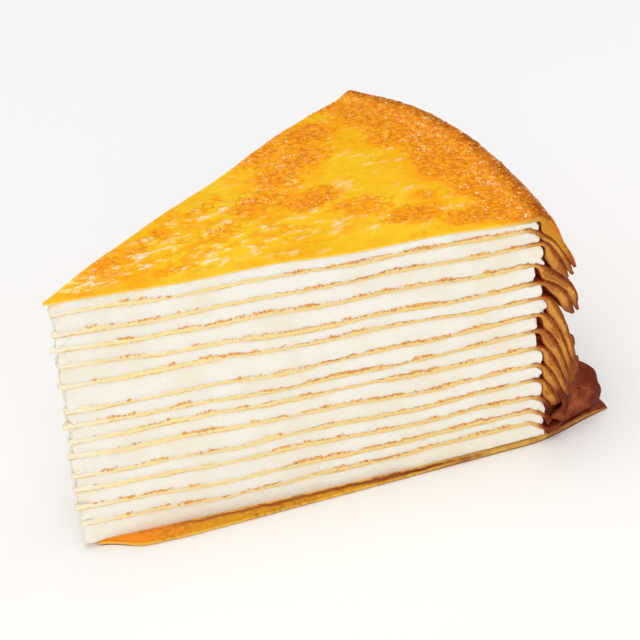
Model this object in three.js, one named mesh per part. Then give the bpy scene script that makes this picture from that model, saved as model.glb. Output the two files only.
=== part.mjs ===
import * as THREE from 'three';

// A slice of mille crepe cake: fifteen crepes with fourteen layers of cream between them.
// Millimetres, +Z up. The slice rests on z = 0 with its tip towards -X and its rim towards +X.
// Every crepe is a whole disc cut by the same two straight cuts, so it runs through the slice and hangs
// over the rim, where each one lies on those below it like a shingle.
// A point of the slice is given by its distance from the tip and its angle about it, the near cut being
// at -halfAngle (towards -Y) and the far cut at +halfAngle.

const tipX = -60;                 // where the tip stands
const halfAngle = 20;             // degrees on each side of X, so the slice is a ninth of the cake
const creamEndNear = 99;          // where the cream ends, from the tip along the near cut
const creamEndFar = 106.6;        // the same along the far cut: the cake was cut a little off its centre
const rimUnevenness = 0.7;        // how far the rim swings in and out between the cuts
const creamTip = 1.2;             // the cream's point is blunt by this much, the crepes' points stand out
const crepeTip = 0.4;
const baseTip = 4.4;              // the lowest crepe's point stayed behind

const crepeThickness = 1.1;       // as it lies in the stack
const drapeThickness = 0.7;       // where it hangs free
const hemThickness = 0.5;         // at its thin lacy edge
const topRimThickness = 2.2;      // the glazed top crepe is thicker over the shoulder
const layerGap = 0.25;            // air between touching solids in the stack
const creamLipGap = 0.5;          // the same where the cream runs on under an overhang
const drapeGap = 0.35;            // least air between two hanging crepes
const lowerGap = 0.7;             // the same below the upper five, where they bend more sharply

// Thickness of each cream layer from the top of the cake down, as it was spread by hand:
// at the tip, half way, and at the rim.
const creamAtTip = [1.25, 3.6, 2.1, 2.5, 3.6, 4.6, 2.2, 2.6, 2.3, 3.5, 2.2, 3.1, 2.9, 3.95];
const creamHalfWay = [1.25, 3.0, 3.0, 3.6, 2.0, 4.4, 2.6, 1.9, 3.0, 3.3, 2.2, 2.9, 2.3, 3.15];
const creamAtRim = [0.95, 2.4, 3.6, 3.4, 2.7, 2.8, 2.7, 2.9, 2.8, 2.2, 2.8, 2.0, 1.8, 3.25];
// How far each layer of cream runs on under the overhangs, from where they start.
const creamReaches = [2.4, 5.0, 5.4, 3.7, 4.9, 5.6, 3.7, 3.6, 4.4, 4.3, 4.4, 5.6, 5.0, 5.2];
const baseThickness = [1.6, 1.3, 2.2];   // the lowest crepe, at the same three places
const stations = [2, 52, 96];            // how far from the tip those places are

const creamCount = creamAtTip.length;
const crepeCount = creamCount + 1;

const farRise = 0.026;            // the far cut is this share taller than the near one
const waveHeight = 0.22;          // how much the layers rise and fall
const waveLength = 34;
const waveShift = 0.45;           // radians between one layer's wave and the next one's
const slowWaveLength = 72;        // a second, longer wave runs under it, out of step with it
const slowWaveShift = -0.6;
const slowWaveShare = 0.6;        // of the first wave's height

// Each crepe starts to leave the stack this far short of the cream's end, and all lengths along an
// overhang are counted from there.
const overhangStart = 4.5;
const curveStep = 0.5;
const sharpestTurn = 10;          // degrees that an overhang can turn down within one step
const landingRadius = 2.5;        // how tightly it bends where it comes to lie on the one below

// How the overhang of a crepe turns down, the top one first. It turns by up to `steep` degrees from
// `start` on, nearly all of it within a few times `over`, and curls by `curl` more degrees from `curlAt`.
// `cutLength` is how much of it still reaches the near cut: past that its edge draws back.
const upperOverhangs = [
  { length: 22.0, start: 4.4, over: 1.8, steep: 63, curl: 11, curlAt: 11.5, cutLength: 30 },
  { length: 17.5, start: 2.2, over: 3.4, steep: 60, curl: 18, curlAt: 12, cutLength: 30 },
  { length: 15.5, start: 5.4, over: 1.6, steep: 58, curl: 18, curlAt: 11, cutLength: 30 },
  { length: 20.5, start: 3.4, over: 1.6, steep: 42, curl: 46, curlAt: 13, cutLength: 30 },
  { length: 17.0, start: 4.4, over: 3.0, steep: 42, curl: 30, curlAt: 8.5, cutLength: 30 },
];
const lowerOverhang = { start: 4.6, over: 3.2, steep: 76, curl: 24, curlAt: 15 };
const turnSooner = 0.4;           // millimetres by which each lower crepe turns down before the one above
const lowerLengths = [24.5, 22.0, 20.5, 19.5, 20.0, 23.5, 22.5, 21.5, 21.0];
const lowerCutLengths = [30, 30, 20, 18.5, 17, 15, 7.5, 8, 9];
const lowerRetreats = [0, 0, 0.5, 0.5, 0.6, 0.9, 1.3, 1.45, 1.45];   // by how many facets it does so
const firstFoldedCrepe = 9;       // from this crepe down the hems are thrown into folds
const foldShares = [0.25, 0.67, 1, 1, 1, 1];   // how fully each of them follows the folds
const foldedOverhang = { start: 5.0, over: 3.0, steep: 36, curl: 40, curlAt: 18 };
const shoulderLift = 4;           // degrees by which an overhang first rises over its own stiff edge
const shoulderLiftLength = 1.4;
const curlLength = 6;             // the stretch over which the hem curls
const unevenTurn = 5;             // degrees by which the overhangs turn more or less round the rim,
const unevenFrom = [7, 14];       // growing over this stretch
const unevenLength = 0.8;         // how much their lengths vary
const evenCornerAngle = 4;        // degrees from the near cut within which none of this applies

// The folds in the hanging hems: where each one stands, in degrees, how wide it is and how strong.
const folds = [
  { at: -15.7, width: 2.6, height: 1.0 },
  { at: -5.0, width: 3.2, height: 0.55 },
  { at: 5.5, width: 3.6, height: 0.9 },
  { at: 16.5, width: 3.0, height: 0.7 },
];

// The lowest crepe is pressed out past the cuts, most of all near the tip.
const baseReach = 17.5;           // from the cream's end to its hem, flat on the plate
const baseBulge = 3.8;            // how far it stands out past the near cut, near the tip
const baseFarBulge = 0.3;         // the same past the far cut, as a share of it
const baseBulgeEnd = 95;          // distance from the tip where it has drawn back level with the cut
const baseRetreat = 7;            // how far behind the near cut its outer corner lies
const baseEdgeSlope = 0.6;        // its thin edge leans in by this much
const baseBulgeRise = [4.4, 14];  // the bulge swells between these distances from the tip
const baseBulgeFall = 24;         // and shrinks again from here on
const baseRetreatLength = 26;     // over which its outer corner draws back
const baseHemWave = 0.006;        // its hem swings in and out by this share of the distance
const baseHemThinning = 0.6;      // its hem loses this share of its thickness

// Rings of a solid, as distances from the tip on the near cut, and how many facets each has across.
const stackRings = [8, 20, 34, 48, 62, 76, 87];
const stackFacets = [1, 2, 2, 3, 4, 5, 8];
const tipFacets = 1;
const rimFacets = 13;
const rimBias = 1.15;             // above 1 the facets are narrower towards the near cut
const drapeRings = [0.12, 0.23, 0.34, 0.45, 0.56, 0.67, 0.8, 1];
const creamRings = [0.5, 1];      // shares of the cream's reach under the overhangs

const colours = { glaze: 0xf2b01a, crepe: 0xe6b565, cream: 0xf5f1e4, base: 0xc97a1c };
const crepeRoughness = 0.6;
const creamRoughness = 0.7;

const radians = THREE.MathUtils.degToRad;
const { smoothstep, lerp } = THREE.MathUtils;

function creamEnd(angle) {
  const share = (angle + halfAngle) / (2 * halfAngle);
  return lerp(creamEndNear, creamEndFar, share) - rimUnevenness * Math.sin(2 * Math.PI * share);
}

// The angle of a place that lies a given share of the way from the near cut to the far one.
function angleAt(share) {
  return -halfAngle + 2 * halfAngle * share ** rimBias;
}

// A smooth curve through one value at each of the three stations.
function throughStations(values, distance) {
  const [a, b, c] = stations;
  const [atA, atB, atC] = values;
  return atA * (distance - b) * (distance - c) / ((a - b) * (a - c))
    + atB * (distance - a) * (distance - c) / ((b - a) * (b - c))
    + atC * (distance - a) * (distance - b) / ((c - a) * (c - b));
}

function layerWave(layer, distance, angle) {
  const fade = smoothstep(distance, 0, stackRings[1]);
  const wave = Math.sin(2 * Math.PI * distance / waveLength + waveShift * layer + 2 * radians(angle));
  const slowWave = Math.sin(2 * Math.PI * distance / slowWaveLength + slowWaveShift * layer
    + 5 * radians(angle));
  return waveHeight * fade * (wave + slowWaveShare * slowWave);
}

// Height of the underside of a crepe in the stack, the top one being number 1.
function crepeUnderside(layer, distance, angle) {
  if (layer === crepeCount) return 0;
  let height = throughStations(baseThickness, distance);
  for (let below = creamCount; below >= layer; below -= 1) {
    const thicknesses = [creamAtTip[below - 1], creamHalfWay[below - 1], creamAtRim[below - 1]];
    height += throughStations(thicknesses, distance);
    if (below > layer) height += crepeThickness;
  }
  const rise = farRise * smoothstep(distance, 0, stackRings[1]) * (angle + halfAngle) / (2 * halfAngle);
  return height * (1 + rise) + layerWave(layer, distance, angle);
}

function crepeTopside(layer, distance, angle) {
  if (layer === crepeCount) return throughStations(baseThickness, distance);
  return crepeUnderside(layer, distance, angle) + crepeThickness;
}

function foldAt(angle) {
  const sum = folds.reduce((total, fold) =>
    total + fold.height * Math.exp(-(((angle - fold.at) / fold.width) ** 2)), 0);
  return Math.min(sum, 1);
}

// A slow uneven wave round the rim, different for each crepe, which leaves the near cut as it is.
function hemWave(layer, angle) {
  const fromCut = smoothstep(angle, -halfAngle, -halfAngle + evenCornerAngle);
  return fromCut * Math.sin(radians(angle) * (11 + 3 * (layer * 5 % 3)) + layer * 1.9);
}

function turnOf(law, along) {
  const turned = along > law.start ? law.steep * (1 - Math.exp(-(along - law.start) / law.over)) : 0;
  return turned + law.curl * smoothstep(along, law.curlAt, law.curlAt + curlLength);
}

// The direction of a crepe's overhang, in degrees below the horizontal.
function overhangTurn(layer, along, angle) {
  const unevenness = unevenTurn * hemWave(layer, angle) * smoothstep(along, ...unevenFrom);
  if (layer <= upperOverhangs.length) return turnOf(upperOverhangs[layer - 1], along) + unevenness;
  const lift = -shoulderLift * Math.exp(-(((along - overhangStart) / shoulderLiftLength) ** 2));
  const sooner = turnSooner * (layer - 1 - upperOverhangs.length);
  const hanging = turnOf(lowerOverhang, along + sooner) + unevenness;
  const folded = foldShares[layer - firstFoldedCrepe] ?? 0;
  return lift + lerp(hanging, turnOf(foldedOverhang, along), folded * foldAt(angle));
}

function overhangLength(layer, angle) {
  const upper = upperOverhangs[layer - 1];
  const length = upper ? upper.length : lowerLengths[layer - 1 - upperOverhangs.length];
  return length + unevenLength * hemWave(layer + 3, angle);
}

// Half the thickness of a crepe at a share of the way along its overhang.
function drapeHalf(layer, share) {
  const shoulderThickness = layer === 1 ? topRimThickness : drapeThickness;
  const shoulder = lerp(crepeThickness, shoulderThickness, smoothstep(share, 0, drapeRings[1]));
  const hanging = lerp(shoulder, drapeThickness, smoothstep(share, drapeRings[1], drapeRings[4]));
  return lerp(hanging, hemThickness, smoothstep(share, drapeRings[5], 1)) / 2;
}

function overhangCutLength(layer) {
  const upper = upperOverhangs[layer - 1];
  return upper ? upper.cutLength : lowerCutLengths[layer - 1 - upperOverhangs.length];
}

// The distance from a point to a curve, positive on its outer side, and the way out from there.
function clearanceFrom(curve, r, z) {
  let best = { distance: Infinity };
  for (let index = 0; index + 1 < curve.length; index += 1) {
    const [r0, z0] = curve[index];
    const dr = curve[index + 1][0] - r0;
    const dz = curve[index + 1][1] - z0;
    const lengthSquared = dr * dr + dz * dz;
    if (lengthSquared === 0) continue;
    const share = THREE.MathUtils.clamp(((r - r0) * dr + (z - z0) * dz) / lengthSquared, 0, 1);
    const offR = r - r0 - share * dr;
    const offZ = z - z0 - share * dz;
    const distance = Math.hypot(offR, offZ);
    if (distance < best.distance) {
      const pastHem = share === 1 && index + 2 === curve.length;
      const length = Math.sqrt(lengthSquared);
      const wayOut = pastHem ? [offR / distance, offZ / distance] : [-dz / length, dr / length];
      best = { distance, signed: offR * wayOut[0] + offZ * wayOut[1], wayOut };
    }
  }
  return best;
}

// The steepest turn at which an overhang can still come to lie on the one below without a crease.
function landingTurn({ signed, wayOut }, pitch) {
  const room = Math.max(signed - pitch, 0);
  return Math.atan2(wayOut[0], wayOut[1]) + Math.acos(1 - Math.min(room / landingRadius, 2));
}

// The middle of a crepe's overhang in the upright plane at one angle, as points [distance, height].
// It follows its own turn, and where the crepe below is in its way it slides out over that one.
function drapeCurve(layer, angle, below) {
  const startDistance = stackRadius(1, angle);
  const startHeight = crepeUnderside(layer, creamEndNear - overhangStart, angle) + crepeThickness / 2;
  const curve = [[startDistance, startHeight]];
  const stepCount = Math.ceil(overhangLength(layer, angle) / curveStep);
  const gap = layer <= upperOverhangs.length ? drapeGap : lowerGap;
  let turn = 0;
  for (let step = 1; step <= stepCount; step += 1) {
    const [r, z] = curve[step - 1];
    const pitch = drapeHalf(layer, step / stepCount) + gap + drapeThickness / 2;
    turn = Math.min(radians(overhangTurn(layer, step * curveStep, angle)), turn + radians(sharpestTurn),
      landingTurn(clearanceFrom(below, r, z), pitch));
    let toR = curveStep * Math.cos(turn);
    let toZ = -curveStep * Math.sin(turn);
    for (let attempt = 0; attempt < 5; attempt += 1) {
      const { signed, wayOut } = clearanceFrom(below, r + toR, z + toZ);
      const push = Math.max(pitch - signed, 0);
      toR += push * wayOut[0];
      toZ += push * wayOut[1];
      const stretch = curveStep / Math.hypot(toR, toZ);
      toR *= stretch;
      toZ *= stretch;
    }
    turn = Math.atan2(-toZ, toR);
    curve.push([r + toR, z + toZ]);
  }
  return curve;
}

// The whole middle line of a crepe near the rim, with the end of its flat part in front.
function withStackPart(curve) {
  const [startDistance, startHeight] = curve[0];
  return [[startDistance - 2 * overhangStart, startHeight], ...curve];
}

// The point of a curve at a distance along it, with the direction at right angles to it.
function curvePoint(curve, along) {
  const place = THREE.MathUtils.clamp(along / curveStep, 0, curve.length - 1 - 1e-6);
  const index = Math.floor(place);
  const [r0, z0] = curve[index];
  const [r1, z1] = curve[index + 1];
  const before = curve[Math.max(index - 1, 0)];
  const after = curve[Math.min(index + 2, curve.length - 1)];
  const span = Math.hypot(after[0] - before[0], after[1] - before[1]);
  return {
    r: lerp(r0, r1, place - index),
    z: lerp(z0, z1, place - index),
    outR: -(after[1] - before[1]) / span,
    outZ: (after[0] - before[0]) / span,
  };
}

const columnAngles = Array.from({ length: rimFacets + 1 }, (_, column) => angleAt(column / rimFacets));

// Distance from the tip of the start of the overhangs, times a share.
function stackRadius(share, angle) {
  return share * creamEnd(angle) * (creamEndNear - overhangStart) / creamEndNear;
}

// The overhangs' middle lines, from the lowest crepe up, in every column round the rim.
function drapeAllCrepes() {
  const drapes = new Map();
  let below = columnAngles.map((angle) => {
    const height = baseThickness[2] - crepeThickness / 2;
    const start = stackRadius(1, angle) - 2 * overhangStart;
    return [[start, height], [creamEnd(angle) + baseReach, height]];
  });
  for (let layer = crepeCount - 1; layer >= 1; layer -= 1) {
    const curves = columnAngles.map((angle, column) => drapeCurve(layer, angle, below[column]));
    drapes.set(layer, curves);
    below = curves.map(withStackPart);
  }
  return drapes;
}

// A ring of points across the slice: `facets` + 1 of them from the near cut to the far one.
function ring(facets, place) {
  return Array.from({ length: facets + 1 }, (_, index) => place(index / facets, index));
}

function polar(distance, angle, height) {
  return new THREE.Vector3(
    tipX + distance * Math.cos(radians(angle)), distance * Math.sin(radians(angle)), height);
}

// Rings in the flat part of the stack, from the blunt tip to where the overhang starts.
function stackSurface(tipDistance, height) {
  const onRing = (distance, facets) => ring(facets, (share) => {
    const angle = angleAt(share);
    const radius = distance * creamEnd(angle) / creamEndNear;
    return polar(radius, angle, height(distance, angle));
  });
  return [
    onRing(tipDistance, tipFacets),
    ...stackRings.map((distance, index) => onRing(distance, stackFacets[index])),
    onRing(creamEndNear - overhangStart, rimFacets),
  ];
}

// Closes two surfaces of matching rings, one above the other, into a solid.
function solidBetween(upper, lower) {
  const positions = [];
  const triangle = (...corners) => corners.forEach((corner) => positions.push(...corner.toArray()));
  const quad = (a, b, c, d) => {
    triangle(a, b, c);
    triangle(a, c, d);
  };
  const zip = (inner, outer, facingUp) => {
    const put = (a, b, c) => (facingUp ? triangle(a, b, c) : triangle(a, c, b));
    let near = 0;
    let far = 0;
    while (near < inner.length - 1 || far < outer.length - 1) {
      const nextInner = (near + 1) / (inner.length - 1);
      const nextOuter = (far + 1) / (outer.length - 1);
      if (far === outer.length - 1 || (near < inner.length - 1 && nextInner < nextOuter)) {
        put(inner[near], outer[far], inner[near + 1]);
        near += 1;
      } else {
        put(inner[near], outer[far], outer[far + 1]);
        far += 1;
      }
    }
  };
  for (let index = 0; index + 1 < upper.length; index += 1) {
    zip(upper[index], upper[index + 1], true);
    zip(lower[index], lower[index + 1], false);
    quad(upper[index][0], lower[index][0], lower[index + 1][0], upper[index + 1][0]);
    quad(upper[index + 1].at(-1), lower[index + 1].at(-1), lower[index].at(-1), upper[index].at(-1));
  }
  const across = (top, bottom, facingRim) => {
    for (let index = 0; index + 1 < top.length; index += 1) {
      const corners = [top[index], bottom[index], bottom[index + 1], top[index + 1]];
      quad(...(facingRim ? corners : corners.reverse()));
    }
  };
  across(upper.at(-1), lower.at(-1), true);
  across(upper[0], lower[0], false);
  const geometry = new THREE.BufferGeometry();
  geometry.setAttribute('position', new THREE.Float32BufferAttribute(positions, 3));
  geometry.computeVertexNormals();
  return geometry;
}

function addPiece(group, name, geometry, color, roughness) {
  const material = new THREE.MeshStandardMaterial({ color, roughness, metalness: 0 });
  const mesh = new THREE.Mesh(geometry, material);
  mesh.name = name;
  group.add(mesh);
}

function twoDigits(number) {
  return String(number).padStart(2, '0');
}

// A point at a distance along an overhang, off its middle line by an offset towards the outside.
function drapePoint(curve, angle, along, offset) {
  const { r, z, outR, outZ } = curvePoint(curve, along);
  return polar(r + offset * outR, angle, z + offset * outZ);
}

// The same row of points, closed up away from the near cut by so many columns, along the row itself.
function drawnBack(points, columns) {
  const last = points.length - 1;
  return points.map((_, index) => {
    const place = index + columns * (1 - index / last) ** 4;
    const whole = Math.min(Math.floor(place), last - 1);
    return points[whole].clone().lerp(points[whole + 1], place - whole);
  });
}

// One crepe: its flat part in the stack, then its overhang, drawn back from the near cut past the
// length that still reaches it.
function crepeGeometry(layer, curves) {
  const side = (direction) => {
    const height = direction > 0 ? crepeTopside : crepeUnderside;
    const surface = stackSurface(crepeTip, (distance, angle) => height(layer, distance, angle));
    drapeRings.forEach((share) => {
      const points = columnAngles.map((angle, column) => {
        const along = share * overhangLength(layer, angle);
        return drapePoint(curves[column], angle, along, direction * drapeHalf(layer, share));
      });
      const nearAlong = share * overhangLength(layer, columnAngles[0]);
      const cutLength = overhangCutLength(layer);
      const retreat = lowerRetreats[layer - 1 - upperOverhangs.length] ?? 0;
      surface.push(drawnBack(points, retreat * smoothstep(nearAlong, cutLength, cutLength + 3)));
    });
    return surface;
  };
  return solidBetween(side(1), side(-1));
}

// One layer of cream, between the crepe above and the one below, and on a little under the overhangs.
function creamGeometry(layer, curvesAbove, curvesBelow) {
  const upperHeight = (distance, angle) => crepeUnderside(layer, distance, angle) - layerGap;
  const lowerHeight = (distance, angle) => crepeTopside(layer + 1, distance, angle) + layerGap;
  const upper = stackSurface(creamTip, upperHeight);
  const lower = stackSurface(creamTip, lowerHeight);
  creamRings.forEach((share) => {
    const along = share * creamReaches[layer - 1];
    upper.push(columnAngles.map((angle, column) => {
      const half = drapeHalf(layer, along / overhangLength(layer, angle));
      return drapePoint(curvesAbove[column], angle, along, -half - creamLipGap);
    }));
    lower.push(columnAngles.map((angle, column) => {
      if (!curvesBelow) return lowerCreamPoint(angle, along);
      const half = drapeHalf(layer + 1, along / overhangLength(layer + 1, angle));
      return drapePoint(curvesBelow[column], angle, along, half + creamLipGap);
    }));
  });
  return solidBetween(upper, lower);
}

// The underside of the lowest cream near the rim, where it lies on the flat lowest crepe.
function lowerCreamPoint(angle, along) {
  return polar(stackRadius(1, angle) + along, angle, baseThickness[2] + layerGap);
}

// How far the lowest crepe stands out past the near cut at a distance from the tip.
function bulgePastNearCut(distance) {
  const swell = baseBulge * smoothstep(distance, ...baseBulgeRise);
  const gone = THREE.MathUtils.clamp(
    (distance - baseBulgeFall) / (baseBulgeEnd - baseBulgeFall), 0, 1);
  const retreat = smoothstep(distance, baseBulgeEnd, baseBulgeEnd + baseRetreatLength);
  return swell * (1 - gone) - baseRetreat * retreat;
}

// The lowest crepe: flat on the plate, pressed out past both cuts, its hem lying round the rim.
function baseGeometry() {
  const rims = [0.25, 0.5, 0.75, 1].map((share) => creamEndNear - overhangStart
    + share * (baseReach + overhangStart));
  const side = (isTop) => {
    const heightAt = (distance) => (isTop
      ? throughStations(baseThickness, Math.min(distance, stations[2])) : 0);
    const surface = stackSurface(baseTip, heightAt);
    rims.forEach((distance) => {
      surface.push(columnAngles.map((angle) => {
        const wave = 1 + baseHemWave * hemWave(2, angle);
        const hemDrop = isTop ? smoothstep(distance, rims[2], rims[3] + 1) : 0;
        const height = heightAt(distance) * (1 - baseHemThinning * hemDrop);
        return polar((distance + creamEnd(angle) - creamEndNear) * wave, angle, height);
      }));
    });
    surface.forEach((points) => {
      const distance = Math.hypot(points[0].x - tipX, points[0].y);
      const reach = bulgePastNearCut(distance) - (isTop ? baseEdgeSlope : 0);
      const across = radians(90 + halfAngle);
      points.forEach((point, index) => {
        const share = index / (points.length - 1);
        point.x += reach * ((1 - share) ** 4 + baseFarBulge * share ** 4) * Math.cos(across);
        point.y -= reach * ((1 - share) ** 4 - baseFarBulge * share ** 4) * Math.sin(across);
      });
    });
    return surface;
  };
  return solidBetween(side(true), side(false));
}

function buildSlice() {
  const slice = new THREE.Group();
  const drapes = drapeAllCrepes();
  for (let layer = 1; layer < crepeCount; layer += 1) {
    const colour = layer === 1 ? colours.glaze : colours.crepe;
    addPiece(slice, `crepe_${twoDigits(layer)}`, crepeGeometry(layer, drapes.get(layer)), colour,
      crepeRoughness);
    const cream = creamGeometry(layer, drapes.get(layer), drapes.get(layer + 1));
    addPiece(slice, `cream_${twoDigits(layer)}`, cream, colours.cream, creamRoughness);
  }
  addPiece(slice, `crepe_${twoDigits(crepeCount)}`, baseGeometry(), colours.base, crepeRoughness);
  return slice;
}

const group = buildSlice();

export default group;
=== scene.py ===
import math

import bpy
import numpy as np
from mathutils import Matrix, Vector


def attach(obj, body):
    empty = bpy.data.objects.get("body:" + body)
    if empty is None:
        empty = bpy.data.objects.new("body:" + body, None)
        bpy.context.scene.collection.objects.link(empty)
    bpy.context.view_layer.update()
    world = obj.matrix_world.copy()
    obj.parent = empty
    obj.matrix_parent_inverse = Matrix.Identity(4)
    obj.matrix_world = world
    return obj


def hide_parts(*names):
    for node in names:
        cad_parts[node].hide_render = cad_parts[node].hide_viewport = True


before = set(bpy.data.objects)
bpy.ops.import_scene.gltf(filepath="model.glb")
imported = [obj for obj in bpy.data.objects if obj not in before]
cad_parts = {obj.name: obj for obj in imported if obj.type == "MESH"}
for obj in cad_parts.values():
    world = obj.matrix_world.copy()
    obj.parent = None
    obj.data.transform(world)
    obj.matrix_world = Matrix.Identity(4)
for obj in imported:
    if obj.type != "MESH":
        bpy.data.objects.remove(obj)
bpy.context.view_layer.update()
mm = 0.001
print("frame loaded:", len(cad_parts), "nodes")

# the slice: sizes in millimetres, angles in degrees, the same as in the solids
wedge = {
    "tipX": -60,
    "halfAngle": 20,
    "creamEndNear": 99,
    "creamEndFar": 106.6,
    "rimUnevenness": 0.7,
    "overhangStart": 4.5,  # the stack ends this far short of the cream's end
    "baseReach": 17.5,  # the lowest crepe reaches this far past the cream
    "crepeThickness": 1.1,
    "farRise": 0.026,
    "waveHeight": 0.22,
    "waves": [(34, 0.45, 2, 1), (72, -0.6, 5, 0.6)],  # length, shift by layer, slant, share
    "calmTip": (0, 20),
    "lie": {"height": 0.3, "sizes": (11, 4.5), "from": (2, 15), "to": (84, 93)},
}

# cream from the top down: thickness at the tip, half way, at the rim, and its reach under the overhangs
creamLayers = [
    (1.25, 1.25, 0.95, 4.2), (3.6, 3.0, 2.4, 5.0), (2.1, 3.0, 3.6, 5.4), (2.5, 3.6, 3.4, 3.7),
    (3.6, 2.0, 2.7, 4.9), (4.6, 4.4, 2.8, 5.6), (2.2, 2.6, 2.7, 3.7), (2.6, 1.9, 2.9, 3.6),
    (2.3, 3.0, 2.8, 4.4), (3.5, 3.3, 2.2, 4.3), (2.2, 2.2, 2.8, 4.4), (3.1, 2.9, 2.0, 5.6),
    (2.9, 2.3, 1.8, 5.0), (3.95, 3.15, 3.25, 5.2),
]
baseThickness = (1.6, 1.3, 2.2)
stations = (2, 52, 96)  # where the three thicknesses are given
creamCount = len(creamLayers)
crepeCount = creamCount + 1
halfAngle = wedge["halfAngle"]
halfCrepe = wedge["crepeThickness"] / 2
stackLast = wedge["creamEndNear"] - wedge["overhangStart"]
scramble = (73856093, 19349663, 83492791, 7919, 1274126177, 668265263)  # large odd numbers for the noise


def smooth(value, low, high):
    share = np.clip((value - low) / (high - low), 0, 1)
    return share * share * (3 - 2 * share)


def mix(low, high, share):
    return low + (high - low) * share


def acrossShare(angle):
    return (angle + halfAngle) / (2 * halfAngle)


def creamEnd(angle):
    share = acrossShare(angle)
    swing = wedge["rimUnevenness"] * np.sin(2 * np.pi * share)
    return mix(wedge["creamEndNear"], wedge["creamEndFar"], share) - swing


def fromTip(points):
    # distance of points from the tip's upright edge, and their angle across the slice
    x = points[:, 0] - wedge["tipX"]
    return np.hypot(x, points[:, 1]), np.degrees(np.arctan2(points[:, 1], x))


def throughStations(values, distance):
    a, b, c = stations
    return (values[0] * (distance - b) * (distance - c) / ((a - b) * (a - c))
            + values[1] * (distance - a) * (distance - c) / ((b - a) * (b - c))
            + values[2] * (distance - a) * (distance - b) / ((c - a) * (c - b)))


def layerWave(layer, distance, angle):
    total = 0
    for length, shift, slant, share in wedge["waves"]:
        phase = 2 * np.pi * distance / length + shift * layer + slant * np.radians(angle)
        total = total + share * np.sin(phase)
    return wedge["waveHeight"] * smooth(distance, *wedge["calmTip"]) * total


def hashed(cells, seed):
    mixed = cells[..., 0] * scramble[0] ^ cells[..., 1] * scramble[1] ^ cells[..., 2] * scramble[2]
    mixed = mixed ^ seed * scramble[3]
    mixed = (mixed ^ (mixed >> 13)) * scramble[4]
    mixed = (mixed ^ (mixed >> 15)) * scramble[5]
    return ((mixed ^ (mixed >> 16)) & 0xFFFFFF) / 0xFFFFFF


def softNoise(points, size, seed):
    # smooth noise from -1 to 1 with features about `size` millimetres across
    scaled = np.asarray(points) / size
    base = np.floor(scaled).astype(np.int64)
    part = scaled - base
    part = part * part * (3 - 2 * part)
    total = 0
    for corner in range(8):
        step = np.array([corner & 1, corner >> 1 & 1, corner >> 2 & 1])
        weight = np.prod(np.where(step == 1, part, 1 - part), axis=-1)
        total = total + weight * hashed(base + step, seed)
    return total * 2 - 1


def spotOf(distance, angle, level):
    return np.stack(np.broadcast_arrays(distance, angle, level), -1)


def unevenLie(layer, distance, angle):
    # each crepe rises and dips by itself, less at the tip and not at the rim
    if layer == 1:
        return 0
    lie = wedge["lie"]
    spot = spotOf(distance, angle * 0.8, 17.0 * layer)
    wander = softNoise(spot, lie["sizes"][0], 5) + 0.5 * softNoise(spot, lie["sizes"][1], 6)
    return lie["height"] * wander * smooth(distance, *lie["from"]) * (1 - smooth(distance, *lie["to"]))


def crepeMiddle(layer, distance, angle):
    # height of the middle of a crepe in the stack, the top one being number 1
    height = throughStations(baseThickness, distance) + halfCrepe
    for below in range(creamCount, layer - 1, -1):
        height = height + throughStations(creamLayers[below - 1][:3], distance)
        if below > layer:
            height = height + wedge["crepeThickness"]
    rise = wedge["farRise"] * smooth(distance, *wedge["calmTip"]) * acrossShare(angle)
    return height * (1 + rise) + layerWave(layer, distance, angle) + unevenLie(layer, distance, angle)


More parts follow.
